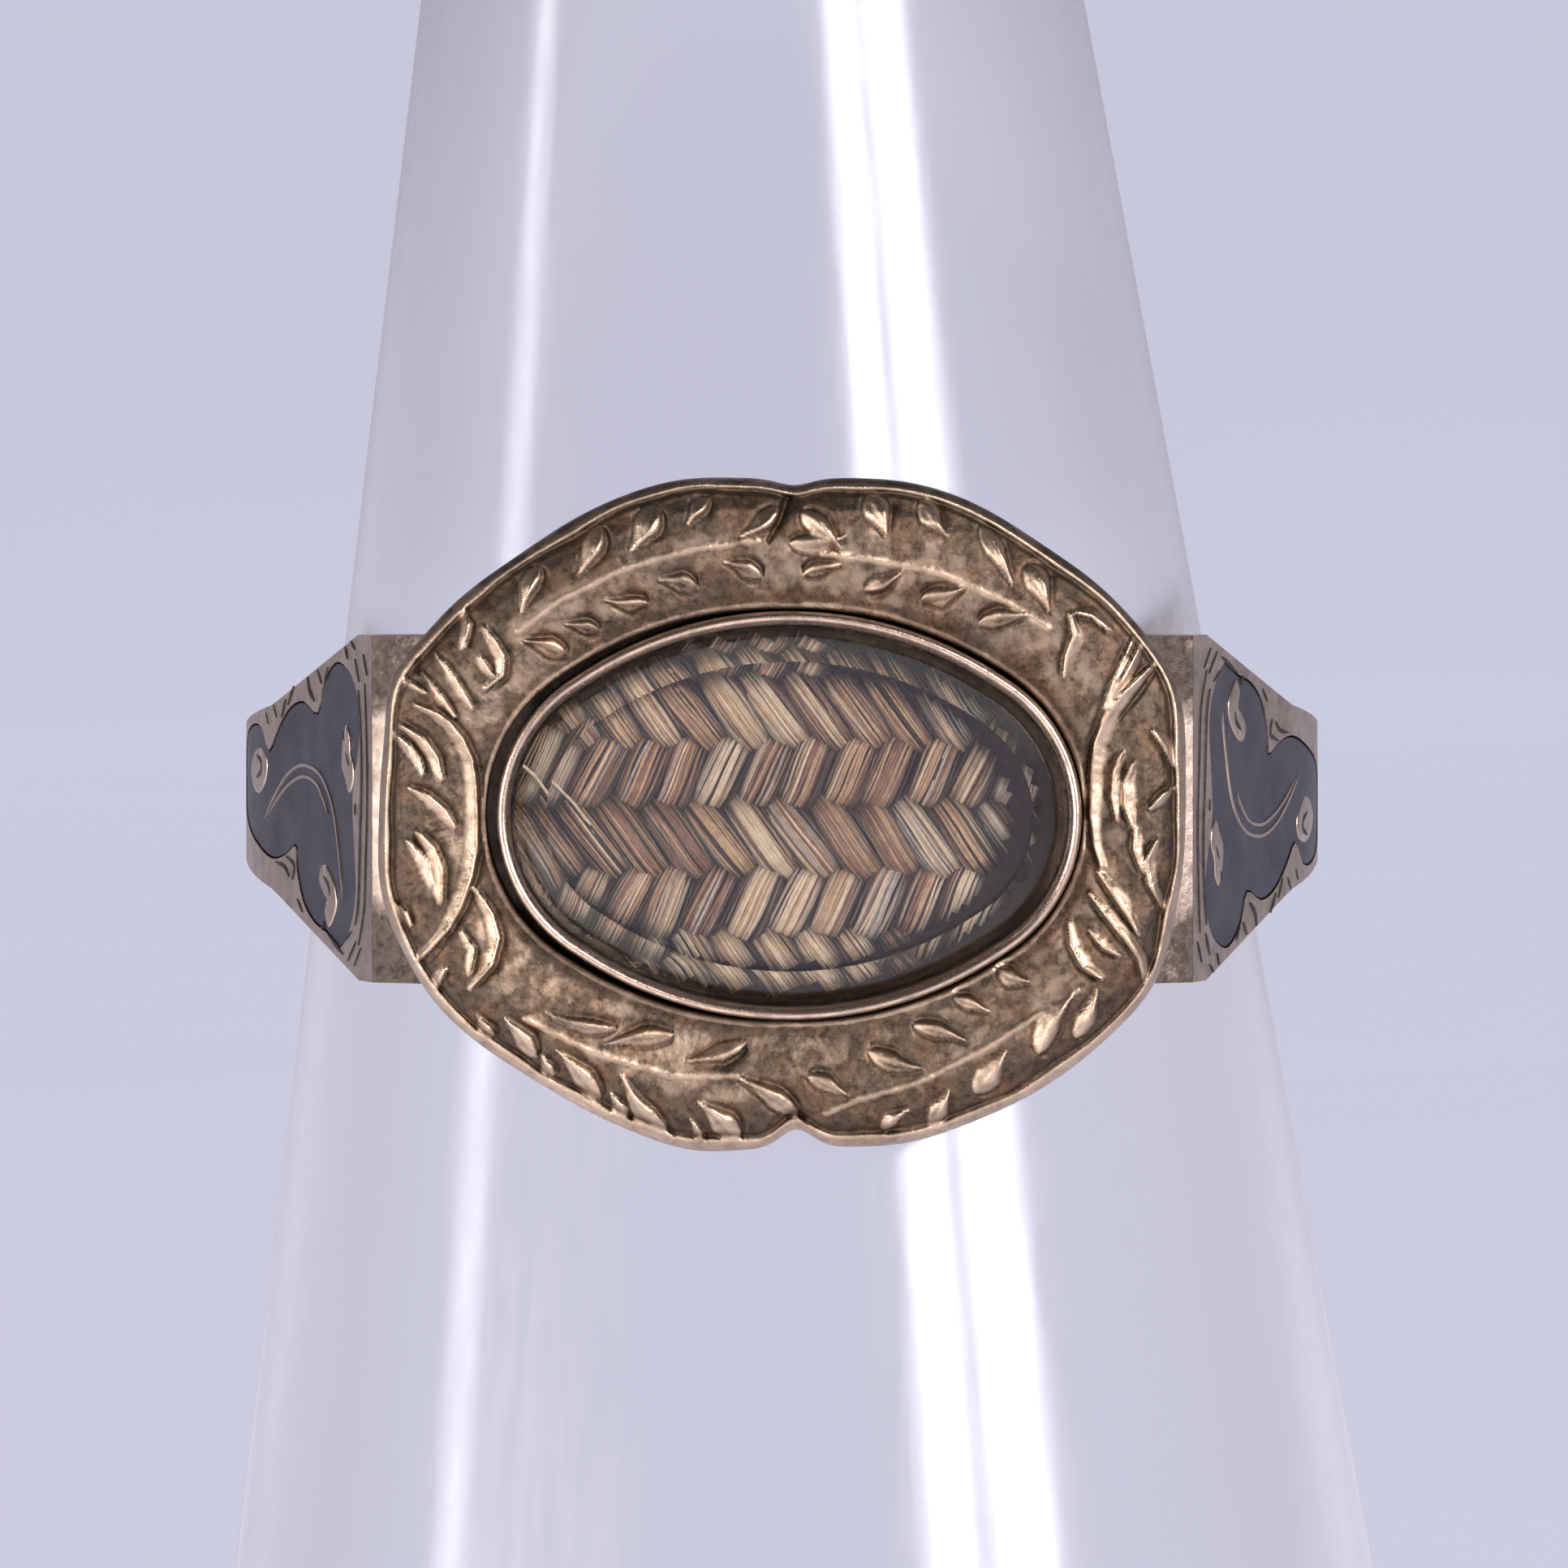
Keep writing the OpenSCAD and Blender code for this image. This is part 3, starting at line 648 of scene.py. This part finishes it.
def make_border():
    around, across = BORDER_MESH
    a = all_round(around)[:, None]
    # Closer rows at the rolled edge
    t = (1 - (1 - np.linspace(0, 1, across)) ** 1.12)[None, :]
    # The opening follows the rim closely, with a wider gap on the left
    gap = OPENING_GAP + RIM_SHIFT * np.clip(np.cos(a), 0, 1) + LEFT_GAP * np.clip(-np.cos(a), 0, 1)
    inner, outer = oval_reach(a, gap), outline(a)
    r = inner + t * (outer - inner)
    u, v = r * np.cos(a), r * np.sin(a)
    rise, low = relief(u, v)
    # The ornament dies away at both edges of the border
    edge = (1 - t) * (outer - inner)
    fade = climb(t, 0, 0.05) * climb(edge, 0.16, 0.12)
    hand = [np.reshape([noise.noise(Vector((x * k, y * k, seed))) for x, y in zip(u.ravel(), v.ravel())], u.shape)
            for k, seed, _ in HAND]
    wobble = sum(rough * size for rough, (_, _, size) in zip(hand, HAND))
    lip = 0.014 * bell(t, 0.03, 0.025)
    # The roll is drawn by hand, so its width wanders
    width = ROLL + LOW_ROLL * np.clip(-np.sin(a), 0, 1) ** 2
    wander = edge * (1 + 0.3 * hand[0]) / width
    rolled = BORDER_T * np.interp(wander, *np.array(EDGE).T)
    plain = section_height(np.broadcast_to(t, u.shape))
    inside = climb(wander, 0.4, EDGE[-1][0] - 0.4)
    h = rolled * (1 - inside) + plain * inside + (rise + wobble) * fade + lip
    # Polish also gathers inside the roll, beside it and round the opening, and painted shade darkens the outer
    # lip along the top of the head
    low = low + 0.45 * bell(edge, 0.55, 0.35) * np.clip(1 - rise / 0.05, 0, 1)
    low = low * climb(wander, 0.28, 0.06) + 0.45 * bell(wander, 0.37, 0.05) + 0.04
    # Painted shade: the outer lip is darker along the upper half of the head, where it faces the dark room
    # overhead
    low = low + 0.7 * np.clip((0.13 - edge) / 0.05, 0, 1) * np.clip(1.6 * np.sin(a), 0, 1)
    low = np.where(t < 0.055, 0.15, low + 0.2 * bell(t, 0.085, 0.03))
    low = np.clip(low + 0.2 * hand[1] * (low > 0.2), 0, 1)
    # Round the back: outer wall, underside, inner wall
    foot = outer - UNDERSIDE_INSET
    wall = np.linspace(0, 1, 6)[None, 1:]
    lift = np.linspace(0, 1, 5)[None, :4] * h[:, :1]
    r = np.concatenate([
        r, outer + (foot - outer) * wall ** 1.6, foot + (inner - foot) * 0.5,
        np.broadcast_to(inner, lift.shape)], 1)
    h = np.concatenate([h, h[:, -1:] * (1 - wall), np.zeros((around, 1)), lift], 1)
    low = np.concatenate([low, np.full((around, r.shape[1] - across), 0.6)], 1)
    pts = placed(round_face(a, r, h + FIT).reshape(-1, 3))
    obj = mesh_piece("border", pts, hoop_skin(*r.shape), [border_gold], "yellow_gold")
    note_points(obj, "low", low)
    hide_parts("leaf_border")


make_border()

# ---------------------------------------------------------------- the hair

# mm in a pixel of the photograph at the hair
HAIR_PX = 0.0146
# Rows of the plait from the top: upper and lower edge in the photograph, slant, run of a strand in mm
ROWS = [
    (748, 826, 1, 0.9), (830, 916, -1, 1.5), (904, 990, 1, 1.05), (982, 1074, -1, 1.55),
    (1064, 1152, 1, 1.05), (1142, 1236, -1, 1.5),
]
# How far a row's strands reach under the rows above and below
OVERLAP = 0.33
# Strands in a row on each side of its middle, their pitch, and half the width of one as a share of the pitch
STRANDS = 10
STRAND_PITCH = 0.75
STRAND_HALF = 0.47
HAIR_D = 0.062
HAIRS_PER_STRAND = 17
TUBE_SIDES = 4
# A strand's painted shade is a little heavier on its right side
SHADE_SIDE = 0.12
# Strands by tone: share up to which each kind runs, then its mixture of pale, tan, brown, ash and dark hairs
TONES = [
    (0.2, (0.62, 0.28, 0.05, 0.03, 0.02)), (0.5, (0.22, 0.5, 0.2, 0.04, 0.04)),
    (0.68, (0.3, 0.14, 0.14, 0.36, 0.06)), (1.01, (0.08, 0.3, 0.5, 0.04, 0.08)),
]
# The darker mixture at a strand's sides, painted shade where the strand rounds away
SHADED_SIDE_TONES = (0, 0.25, 0.55, 0.05, 0.15)
HAIR_MID = RIM_SHIFT - HAIR_SHIFT
# The ground that lines the well and rises to a pad under the plait, its dark colour partly painted shade for the
# well and the gaps between strands: height, share of the plait's oval
PAD = [(0.07, 1.0), (0.16, 0.98), (0.24, 0.93), (0.28, 0.8), (0.3, 0.5), (0.3, 0.05)]
PAD_SIDES = 96
# One pale hair lies loose over the plait
LOOSE_HAIR = [(640, 925), (655, 945), (675, 960), (700, 985), (720, 1012), (735, 1042)]


def tube(points, radius):
    """Points in the row frame of a tube along points on the head."""
    way = np.gradient(points, axis=0)
    way /= np.linalg.norm(way, axis=1)[:, None]
    side = np.cross(way, np.array([0.0, -1.0, 0.05]))
    side /= np.linalg.norm(side, axis=1)[:, None]
    over = np.cross(side, way)
    turn = all_round(TUBE_SIDES)[None, :, None]
    ring = points[:, None] + radius * (np.cos(turn) * side[:, None] + np.sin(turn) * over[:, None])
    return placed(ring.reshape(-1, 3))


# The rim's section, its top drawn to a rounded edge: growth of the oval, height
RIM_SECTION = [
    (0.0, 0.0), (0.0, 1.7), (0.0, 1.88), (-0.008, 1.98), (-0.024, 2.045), (-0.05, 2.08), (-0.085, 2.095),
    (-0.12, 2.09), (-0.16, 2.06), (-0.2, 1.99), (-0.228, 1.88), (-0.24, 1.75), (-0.24, 1.15), (-WELL_SET, 1.15),
    (-WELL_SET, 0.0),
]
RIM_AROUND = 360


def make_rim():
    a = all_round(RIM_AROUND)
    rows = []
    for grow, h in RIM_SECTION:
        # The top edge is slightly dented
        dent = 0.012 * np.array([noise.noise(Vector((3 * math.cos(t), 3 * math.sin(t), h))) for t in a])
        dent = np.minimum(dent, 0) if 1.8 < h < 2.2 else 0
        rows.append(round_face(a, oval_reach(a, grow), h + FIT + dent, RIM_SHIFT))
    pts = placed(np.stack(rows, 1).reshape(-1, 3))
    obj = mesh_piece("rim", pts, hoop_skin(RIM_AROUND, len(RIM_SECTION)), [rim_gold], "rim_gold")
    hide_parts("crystal_rim")


make_rim()


def make_hair():
    verts, faces, index, painted_shades = [], [], [], []

    def add(points, sides, kind, painted_shade=0.0):
        """Closed rings of so many points each, all in one kind of hair."""
        made = skin(len(points) // sides, sides, sum(map(len, verts)))
        faces.extend(made)
        index.extend([kind] * len(made))
        verts.append(points)
        painted_shades.append(np.clip(np.broadcast_to(painted_shade, len(points)), 0, 1))

    a = all_round(PAD_SIDES)
    well = oval_reach(a, -WELL_SET - FIT)
    reach = oval_reach(a, -WELL_SET - HAIR_GAP)
    pad = [round_face(a, well, h + FIT, RIM_SHIFT) for h in (0.0, 0.06)]
    pad += [round_face(a, reach * share, h + FIT, HAIR_MID) for h, share in PAD]
    # The dark lining stands in for the shade down in the well and between the strands
    add(placed(np.concatenate(pad)), PAD_SIDES, DARK)

    rng = random.Random(7)

    def stray(by):
        return rng.uniform(-by, by)

    tau = np.linspace(0, 1, 11)
    swing = 2 * tau - 1
    # A strand comes up between two strands of the row above, and goes down between two of the row below
    arch = np.clip(np.minimum(tau / 0.38, (1 - tau) / 0.34), 0, 1)
    arch = arch * arch * (3 - 2 * arch)
    lower_end = 0.1
    for top, low, slant, run in ROWS:
        v_top, v_low = (HEAD_PX[1] - top) * HAIR_PX + OVERLAP, (HEAD_PX[1] - low) * HAIR_PX - OVERLAP
        first = lower_end - slant * run / 2 + STRAND_PITCH / 2
        lower_end = (first - slant * run / 2) % STRAND_PITCH
        for k in range(-STRANDS, STRANDS + 1):
            tone = rng.random()
            mixture = next(m for limit, m in TONES if tone < limit)
            mid = first + k * STRAND_PITCH + stray(0.05)
            turn, lift, bend = stray(0.08), stray(0.04), rng.uniform(0.0, 0.2)
            for j in range(HAIRS_PER_STRAND):
                o = (j + 0.5) / HAIRS_PER_STRAND * 2 - 1 + stray(0.05)
                round_top = math.sqrt(max(1 - o * o, 0))
                half = STRAND_PITCH * STRAND_HALF * (1 - 0.3 * swing ** 2)
                wave = stray(0.012) * np.sin(3 * np.pi * tau + rng.uniform(0, 6))
                sweep = slant * bend * swing * (1 - swing ** 2)
                u = (mid + slant * (run + turn) * (0.5 - tau) + sweep + o * half + wave
                     + stray(0.05) * (tau - 0.5))
                v = v_top + (v_low - v_top) * tau - 0.15 * slant * o
                h = 0.08 + lift + 0.32 * arch + 0.36 * round_top * (0.45 + 0.55 * arch) + stray(0.012)
                inside = np.hypot(u * np.where(u > 0, 1.05, 1.0), v)
                inside = inside / oval_reach(np.arctan2(v, u), -WELL_SET - HAIR_GAP - 0.03)
                border = climb(inside, 0.84, 0.16)
                # Painted shade: darker where a hair dives under the next row, near the well's edge and at the
                # strand's sides, more on its right, with some tone at random
                painted_shade = (np.clip((0.64 - h) / 0.36, 0, 1) + 0.4 * border
                        + 1.05 * abs(o + SHADE_SIDE) ** 2.2 + rng.uniform(-0.1, 0.16))
                h = h - 0.3 * border ** 2
                # Only a hair that lies over the pad in one length of some steps is made
                keep = np.flatnonzero(inside < 1)
                if len(keep) < 4 or keep[-1] - keep[0] >= len(keep):
                    continue
                p = on_face(u[keep] + HAIR_MID, v[keep], np.minimum(h[keep], HAIR_T + 0.06) + FIT)
                # Darker hairs lie at the strand's sides more often than on its top, as painted shade
                pick = mixture if rng.random() < 0.35 + 0.65 * round_top else SHADED_SIDE_TONES
                points = tube(p, HAIR_D / 2 * rng.uniform(0.8, 1.2))
                add(points, TUBE_SIDES, rng.choices(range(5), pick)[0], np.repeat(painted_shade[keep], TUBE_SIDES))
    x, y = np.array(LOOSE_HAIR).T
    loose = on_face((x - HEAD_PX[0]) * HAIR_PX, (HEAD_PX[1] - y) * HAIR_PX, HAIR_T + 0.07)
    add(tube(loose, 0.03), TUBE_SIDES, PALE)
    obj = mesh_piece("hair", np.concatenate(verts), faces, HAIRS, "hair", indices=index)
    note_points(obj, "painted_shade", np.concatenate(painted_shades))
    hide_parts("hair_panel")


make_hair()

# ---------------------------------------------------------------- gold lines in the enamel

TOUCH_R = OUTER_R - TUCK
TOUCH_A = math.atan2(CORNER[1], CORNER[0]) + math.acos(TOUCH_R / np.linalg.norm(CORNER))
TOUCH = TOUCH_R * np.array([math.cos(TOUCH_A), math.sin(TOUCH_A)])
FLAT_L = float(np.linalg.norm(CORNER - TOUCH))
FLAT_DIR = (CORNER - TOUCH) / FLAT_L
FLAT_OUT = np.array([-FLAT_DIR[1], FLAT_DIR[0]])
SIDE_S = float((np.array([OUTER_R, 0]) - TOUCH) @ FLAT_DIR)


def on_shoulder(share, rise, over=0.0):
    """A point of the right shoulder's outer surface, and over it."""
    s = SIDE_S + share * (FLAT_L - SIDE_S)
    base = TOUCH + s * FLAT_DIR
    if s < 0:
        base = base - (OUTER_R - math.sqrt(OUTER_R ** 2 - s * s)) * FLAT_OUT
        out = base / np.linalg.norm(base)
    else:
        out = FLAT_OUT
    p = base + over * out
    return np.array([p[0], p[1], rise * SHOULDER_H / 2])


# The photograph's column and row of the ring's axis, mm in a pixel there, and the camera's distance in mm
RING_PX = (963.5, 973)
AXIS_PX = 0.01508
FAR = 307.0
# Rows that a point falls in the photograph for each mm that it is nearer
DIP = 2.7


def on_left(x, y):
    """A point of the photograph on the left shoulder as shares along and up the right one, turned half round."""
    shares = np.linspace(-0.02, 1.02, 209)
    pts = np.array([on_shoulder(t, 0) for t in shares])
    scale = AXIS_PX * (FAR + pts[:, 1]) / FAR
    share = np.interp(x, RING_PX[0] - pts[:, 0] / scale, shares)
    depth = float(np.interp(share, shares, pts[:, 1]))
    rise = (RING_PX[1] - DIP * depth - y) * AXIS_PX * (FAR + depth) / FAR
    return float(share), -rise / (SHOULDER_H / 2)


# Lines of gold left standing in the left enamel: half width in mm, then points of the photograph
LINES = [
    (0.038, [
        (326, 1008), (340, 976), (355, 953), (372, 943), (390, 951), (402, 972), (410, 1002), (415, 1040),
        (419, 1080), (421, 1108)]),
    (0.034, [(330, 1004), (345, 979), (360, 963), (374, 957), (388, 965), (397, 984), (403, 1004)]),
]
# Gold left standing as islands, outlined in the photograph
ISLANDS = [
    [
        (322, 922), (328, 932), (329, 950), (325, 968), (318, 978), (312, 968), (309, 948), (312, 930),
        (317, 922)],
    [
        (425, 893), (430, 908), (431, 928), (435, 946), (434, 966), (429, 978), (425, 962), (420, 944),
        (421, 916)],
    [
        (399, 1065), (406, 1076), (412, 1094), (414, 1114), (410, 1132), (404, 1144), (400, 1130),
        (403, 1112), (397, 1098), (392, 1082), (394, 1068)],
]
# Cuts in the gold of the left shoulder: half width in mm, then points of the photograph
CUTS = [
    (0.03, [(441, 850), (444, 900), (445, 960), (443, 1040), (441, 1110), (437, 1140)]),
    (0.022, [(449, 842), (451, 900), (452, 980), (450, 1060), (448, 1120), (441, 1165)]),
    (0.018, [(437, 990), (437, 1004)]), (0.03, [(328, 878), (331, 892)]),
    (0.03, [(337, 868), (341, 884)]), (0.032, [(352, 862), (347, 884)]), (0.036, [(362, 846), (355, 868)]),
    (0.036, [(379, 834), (381, 850), (387, 864)]), (0.036, [(391, 826), (396, 842)]),
    (0.026, [(404, 822), (400, 838)]), (0.034, [(425, 797), (428, 812)]), (0.03, [(432, 790), (437, 800)]),
    (0.034, [(437, 812), (442, 840)]), (0.026, [(447, 806), (452, 832)]),
    (0.024, [(340, 1062), (350, 1068), (356, 1080)]), (0.024, [(352, 1055), (362, 1066), (360, 1084)]),
    (0.022, [(366, 1108), (372, 1124)]), (0.024, [(404, 1152), (414, 1166), (422, 1176)]),
    (0.022, [(424, 1160), (432, 1148)]), (0.022, [(428, 1184), (438, 1160)]),
    (0.03, [(398, 1136), (396, 1146)]), (0.02, [(436, 1190), (444, 1168)]),
    (0.036, [(317, 930), (322, 938), (322, 950), (317, 958)]), (0.034, [(422, 902), (424, 912)]),
    (0.034, [(426, 928), (430, 944)]), (0.036, [(399, 1080), (405, 1092), (406, 1104)]),
]


def smooth_path(points, steps=6):
    """Catmull-Rom points through the given ones."""
    p = [np.array(q, float) for q in points]
    p = [2 * p[0] - p[1]] + p + [2 * p[-1] - p[-2]]
    out = []
    for i in range(1, len(p) - 2):
        for j in range(steps):
            t = j / steps
            out.append(p[i] + t * (p[i + 1] - p[i - 1]) / 2
                       + t * t * (2 * p[i - 1] - 5 * p[i] + 4 * p[i + 1] - p[i + 2]) / 2
                       + t ** 3 * (3 * p[i] - p[i - 1] - 3 * p[i + 1] + p[i + 2]) / 2)
    out.append(p[-2])
    return out


def both_shoulders(points, verts, faces, rings):
    """Add closed rings of points on the right shoulder, and the same turned half round on the left one."""
    for turned in (1, -1):
        faces.extend(skin(rings, len(points) // rings, sum(map(len, verts))))
        verts.append(placed(points * np.array([turned, 1, turned])))


def ribbons(name, paths, low, high, surface, widen=1.0):
    """Flat ribbons from low to high over the shoulders, on both sides, tapering to their ends."""
    verts, faces = [], []
    for half, path in paths:
        mid = smooth_path([on_left(*q) for q in path])
        pts = np.array([on_shoulder(s, r, low) for s, r in mid])
        n = len(pts)
        way = np.gradient(pts, axis=0)
        way /= np.linalg.norm(way, axis=1)[:, None]
        out = np.array([on_shoulder(s, r, 1.0) - on_shoulder(s, r, 0.0) for s, r in mid])
        side = np.cross(way, out)
        ends = np.minimum(np.arange(n), n - 1 - np.arange(n)) / 4
        reach = side * np.minimum(1, ends * 0.7 + 0.3)[:, None] * (half * widen)
        tall = out * (high - low)
        ring = np.stack([pts - reach, pts - reach * 0.8 + tall, pts + reach * 0.8 + tall, pts + reach], 1)
        both_shoulders(ring.reshape(-1, 3), verts, faces, n)
    mesh_piece(name, np.concatenate(verts), faces, [surface], "rose_gold", smooth=False)


# An island's rings from its foot to its middle: size, height over the enamel
ISLAND_RINGS = [(1.0, -0.03), (0.97, 0.0), (0.85, 0.012), (0.45, 0.012)]


def make_islands():
    verts, faces = [], []
    for points in ISLANDS:
        ring = [on_left(*q) for q in points]
        closed = np.array(smooth_path(ring[-1:] + ring + ring[:2], 3)[3:-3])
        mid = np.mean(closed, axis=0)
        pts = [on_shoulder(*(mid + (q - mid) * size), over) for size, over in ISLAND_RINGS for q in closed]
        both_shoulders(np.array(pts), verts, faces, len(ISLAND_RINGS))
    mesh_piece("enamel_islands", np.concatenate(verts), faces, [wire_gold], "rose_gold")


ribbons("enamel_lines", LINES, -0.03, 0.004, wire_gold)
make_islands()
ribbons("engraving", CUTS, -0.01, 0.016, engraved_dark, 1.85)

# ---------------------------------------------------------------- the cone


# Points around the cone, steps up its side and over its tip
CONE_AROUND, CONE_STEPS, TIP_STEPS = 256, 24, 10
# What keeps the cone's finer mesh within the box of the frame's one
WITHIN = 0.9994


def make_cone():
    lead = math.atan(SLOPE)
    round_x = TIP_D / 2 - TIP_ROUND * (math.cos(lead) - SLOPE * (1 - math.sin(lead)))
    tip = [
        (round_x + TIP_ROUND * math.cos(lead + (math.pi / 2 - lead) * i / TIP_STEPS),
         CONE_H - TIP_ROUND + TIP_ROUND * math.sin(lead + (math.pi / 2 - lead) * i / TIP_STEPS))
        for i in range(TIP_STEPS + 1)]
    low_r, low_z = FOOT_D / 2 - FOOT_BEVEL * SLOPE, FOOT_BEVEL
    top_r, top_z = tip[0]
    side = [
        (low_r + (top_r - low_r) * i / CONE_STEPS, low_z + (top_z - low_z) * i / CONE_STEPS)
        for i in range(1, CONE_STEPS)]
    rows = [(FOOT_D / 4, 0.0), (FOOT_D / 2 - FOOT_BEVEL, 0.0), (low_r, low_z), *side, *tip, (round_x / 2, CONE_H)]
    verts, faces = [(0, 0, 0)], []
    for r, z in rows:
        for k in range(CONE_AROUND):
            t = 2 * math.pi * k / CONE_AROUND
            verts.append((r * MM * WITHIN * math.cos(t), r * MM * WITHIN * math.sin(t), z * MM))
    verts.append((0, 0, CONE_H * MM))
    for k in range(CONE_AROUND):
        m = (k + 1) % CONE_AROUND
        faces.append((0, 1 + m, 1 + k))
        for b in range(1, 1 + (len(rows) - 1) * CONE_AROUND, CONE_AROUND):
            faces.append((b + k, b + m, b + CONE_AROUND + m, b + CONE_AROUND + k))
        b = len(verts) - 1 - CONE_AROUND
        faces.append((b + k, b + m, len(verts) - 1))
    obj = mesh_piece("cone", verts, faces, [clear_acrylic], "clear_acrylic")
    # The foot's bevel has sharp edges
    for e in obj.data.edges:
        a, b = (obj.data.vertices[i].co for i in e.vertices)
        for z in (0.0, FOOT_BEVEL * MM):
            if max(abs(a.z - z), abs(b.z - z)) < 1e-7 and min(a.xy.length, b.xy.length) > 0.48 * FOOT_D * MM:
                e.use_edge_sharp = True
    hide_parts("ring_cone")


make_cone()

# ---------------------------------------------------------------- carried-over nodes

for name, surface, slot in [
    ("ring_shank", rose_gold, "rose_gold"), ("crystal", crystal_glass, "crystal"),
    ("enamel_left", enamel_dark, "enamel"), ("enamel_right", enamel_dark, "enamel"),
]:
    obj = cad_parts[name]
    obj.data.materials.clear()
    obj.data.materials.append(surface)

# ---------------------------------------------------------------- floor, light and camera


# Where the floor's glow falls off to the sides, the middle of the light pool on it, and where the pool ends, in m
ASIDE = (0.09, 0.19)
POOL = (-0.055, -0.08, 0)
POOL_EDGE = (0.03, 0.12)


def pale_paper():
    """Pale paper that glows evenly along the middle and falls off towards the sides."""
    n = material("pale_paper")
    place = n.node("ShaderNodeTexCoord").outputs["Object"]
    aside = n.span(n.math("ABSOLUTE", n.axes(place)[0]), *ASIDE)
    tone = n.span(n.noise(n.coords(ring=False), 0.02, 2, 0.5), 0.3, 0.7, 0.0, 0.02)
    glow = n.mix(n.math("ADD", aside, tone, clamp=True), (0.53, 0.527, 0.652), (0.35, 0.345, 0.41))
    # A pool of light before the object, to the left, that its lower sides mirror
    away = n.node("ShaderNodeVectorMath", place, POOL, operation="DISTANCE").outputs["Value"]
    n.set(
        Emission_Color=n.mix(n.span(away, *POOL_EDGE), (1.65, 1.62, 1.65), glow), Emission_Strength=1.0,
        Base_Color=n.mix(tone, (0.12, 0.119, 0.137), (0.10, 0.10, 0.115)), Roughness=0.7)
    return n.owner


def make_floor():
    """A floor that curves up into a backdrop far behind the ring."""
    near, far, wide, high, bend, steps = -1.2, 1.4, 1.5, 0.8, 0.5, 16
    line = [(near, 0.0), (far - bend, 0.0)]
    for i in range(1, steps + 1):
        t = math.pi / 2 * i / steps
        line.append((far - bend + bend * math.sin(t), bend - bend * math.cos(t)))
    line.append((far, high))
    verts = [(x, y, z) for y, z in line for x in (-wide, wide)]
    faces = [(2 * i, 2 * i + 1, 2 * i + 3, 2 * i + 2) for i in range(len(line) - 1)]
    mesh_object("floor", verts, faces, [pale_paper()])


make_floor()

RING_MID = Vector(placed([[0, 0, 0]])[0])


def soft_box(name, turn, reach, height, size, power, colour):
    """A soft light reach metres from the ring, turned from the camera's side towards +X by degrees."""
    t = math.radians(turn)
    at = Vector((RING_MID.x + reach * math.sin(t), -reach * math.cos(t), height))
    light = bpy.data.lights.new(name, "AREA")
    light.shape = "RECTANGLE"
    light.size, light.size_y = size
    light.energy = power
    light.color = colour
    obj = bpy.data.objects.new(name, light)
    obj.location = at
    obj.rotation_euler = (RING_MID - at).to_track_quat("-Z", "Y").to_euler()
    bpy.context.scene.collection.objects.link(obj)


soft_box("soft_left", -76, 0.42, 0.15, (0.055, 0.3), 0.5, (1.0, 0.99, 0.98))
soft_box("soft_right_near", 31, 0.46, 0.18, (0.08, 0.2), 1.2, (1.0, 0.99, 0.99))
soft_box("soft_right_far", 46.5, 0.46, 0.18, (0.12, 0.2), 1.45, (1.0, 0.99, 0.99))
soft_box("low_left", -52, 0.5, 0.045, (0.3, 0.08), 1.3, (1.0, 0.99, 0.98))

# The room is dark behind the camera and overhead, and pale behind the ring
world = bpy.data.worlds.new("studio")
n = Nodes(world, "ShaderNodeBackground", "ShaderNodeOutputWorld")
_, back, up = n.axes(n.node("ShaderNodeTexCoord").outputs["Generated"])
depth = n.ramp(n.span(back, -0.5, 0.9), [
    (0.1, (0.22, 0.21, 0.20)), (0.55, (0.30, 0.29, 0.31)), (0.86, (0.56, 0.555, 0.66))])
height = n.ramp(n.span(up, -0.1, 0.9), [(0.1, (1, 1, 1)), (1, (0.22, 0.22, 0.23))])
n.set(Color=n.mix(1.0, depth, height, "MULTIPLY"), Strength=1.0)
bpy.context.scene.world = world

# Plain picture colours, without a film look
bpy.context.scene.view_settings.view_transform = "Standard"

# The camera looks at the head from a little above, rolled so that the ring stands upright in the picture
DISTANCE = FAR / 1000
ELEVATION = math.radians(2.25)
PICTURE_PX = 1932
PX_AT_AXIS = AXIS_PX * MM
look = Vector((0, math.cos(ELEVATION), -math.sin(ELEVATION)))
axis = Vector((math.sin(LEAN), 0, math.cos(LEAN)))
up = (axis - look * axis.dot(look)).normalized()
right = look.cross(up)
# The ring's middle lies left of and below the middle of the picture by a few pixels
aim = RING_MID + right * (2.5 * PX_AT_AXIS) + up * (7 * PX_AT_AXIS)
camera = bpy.data.cameras.new("camera")
camera.sensor_width = 36
camera.lens = camera.sensor_width * DISTANCE / (PICTURE_PX * PX_AT_AXIS)
camera.clip_start, camera.clip_end = 0.02, 10
cam = bpy.data.objects.new("camera", camera)
turn = Matrix((right, up, -look)).transposed().to_4x4()
cam.matrix_world = Matrix.Translation(aim - look * DISTANCE) @ turn
bpy.context.scene.collection.objects.link(cam)
bpy.context.scene.camera = cam
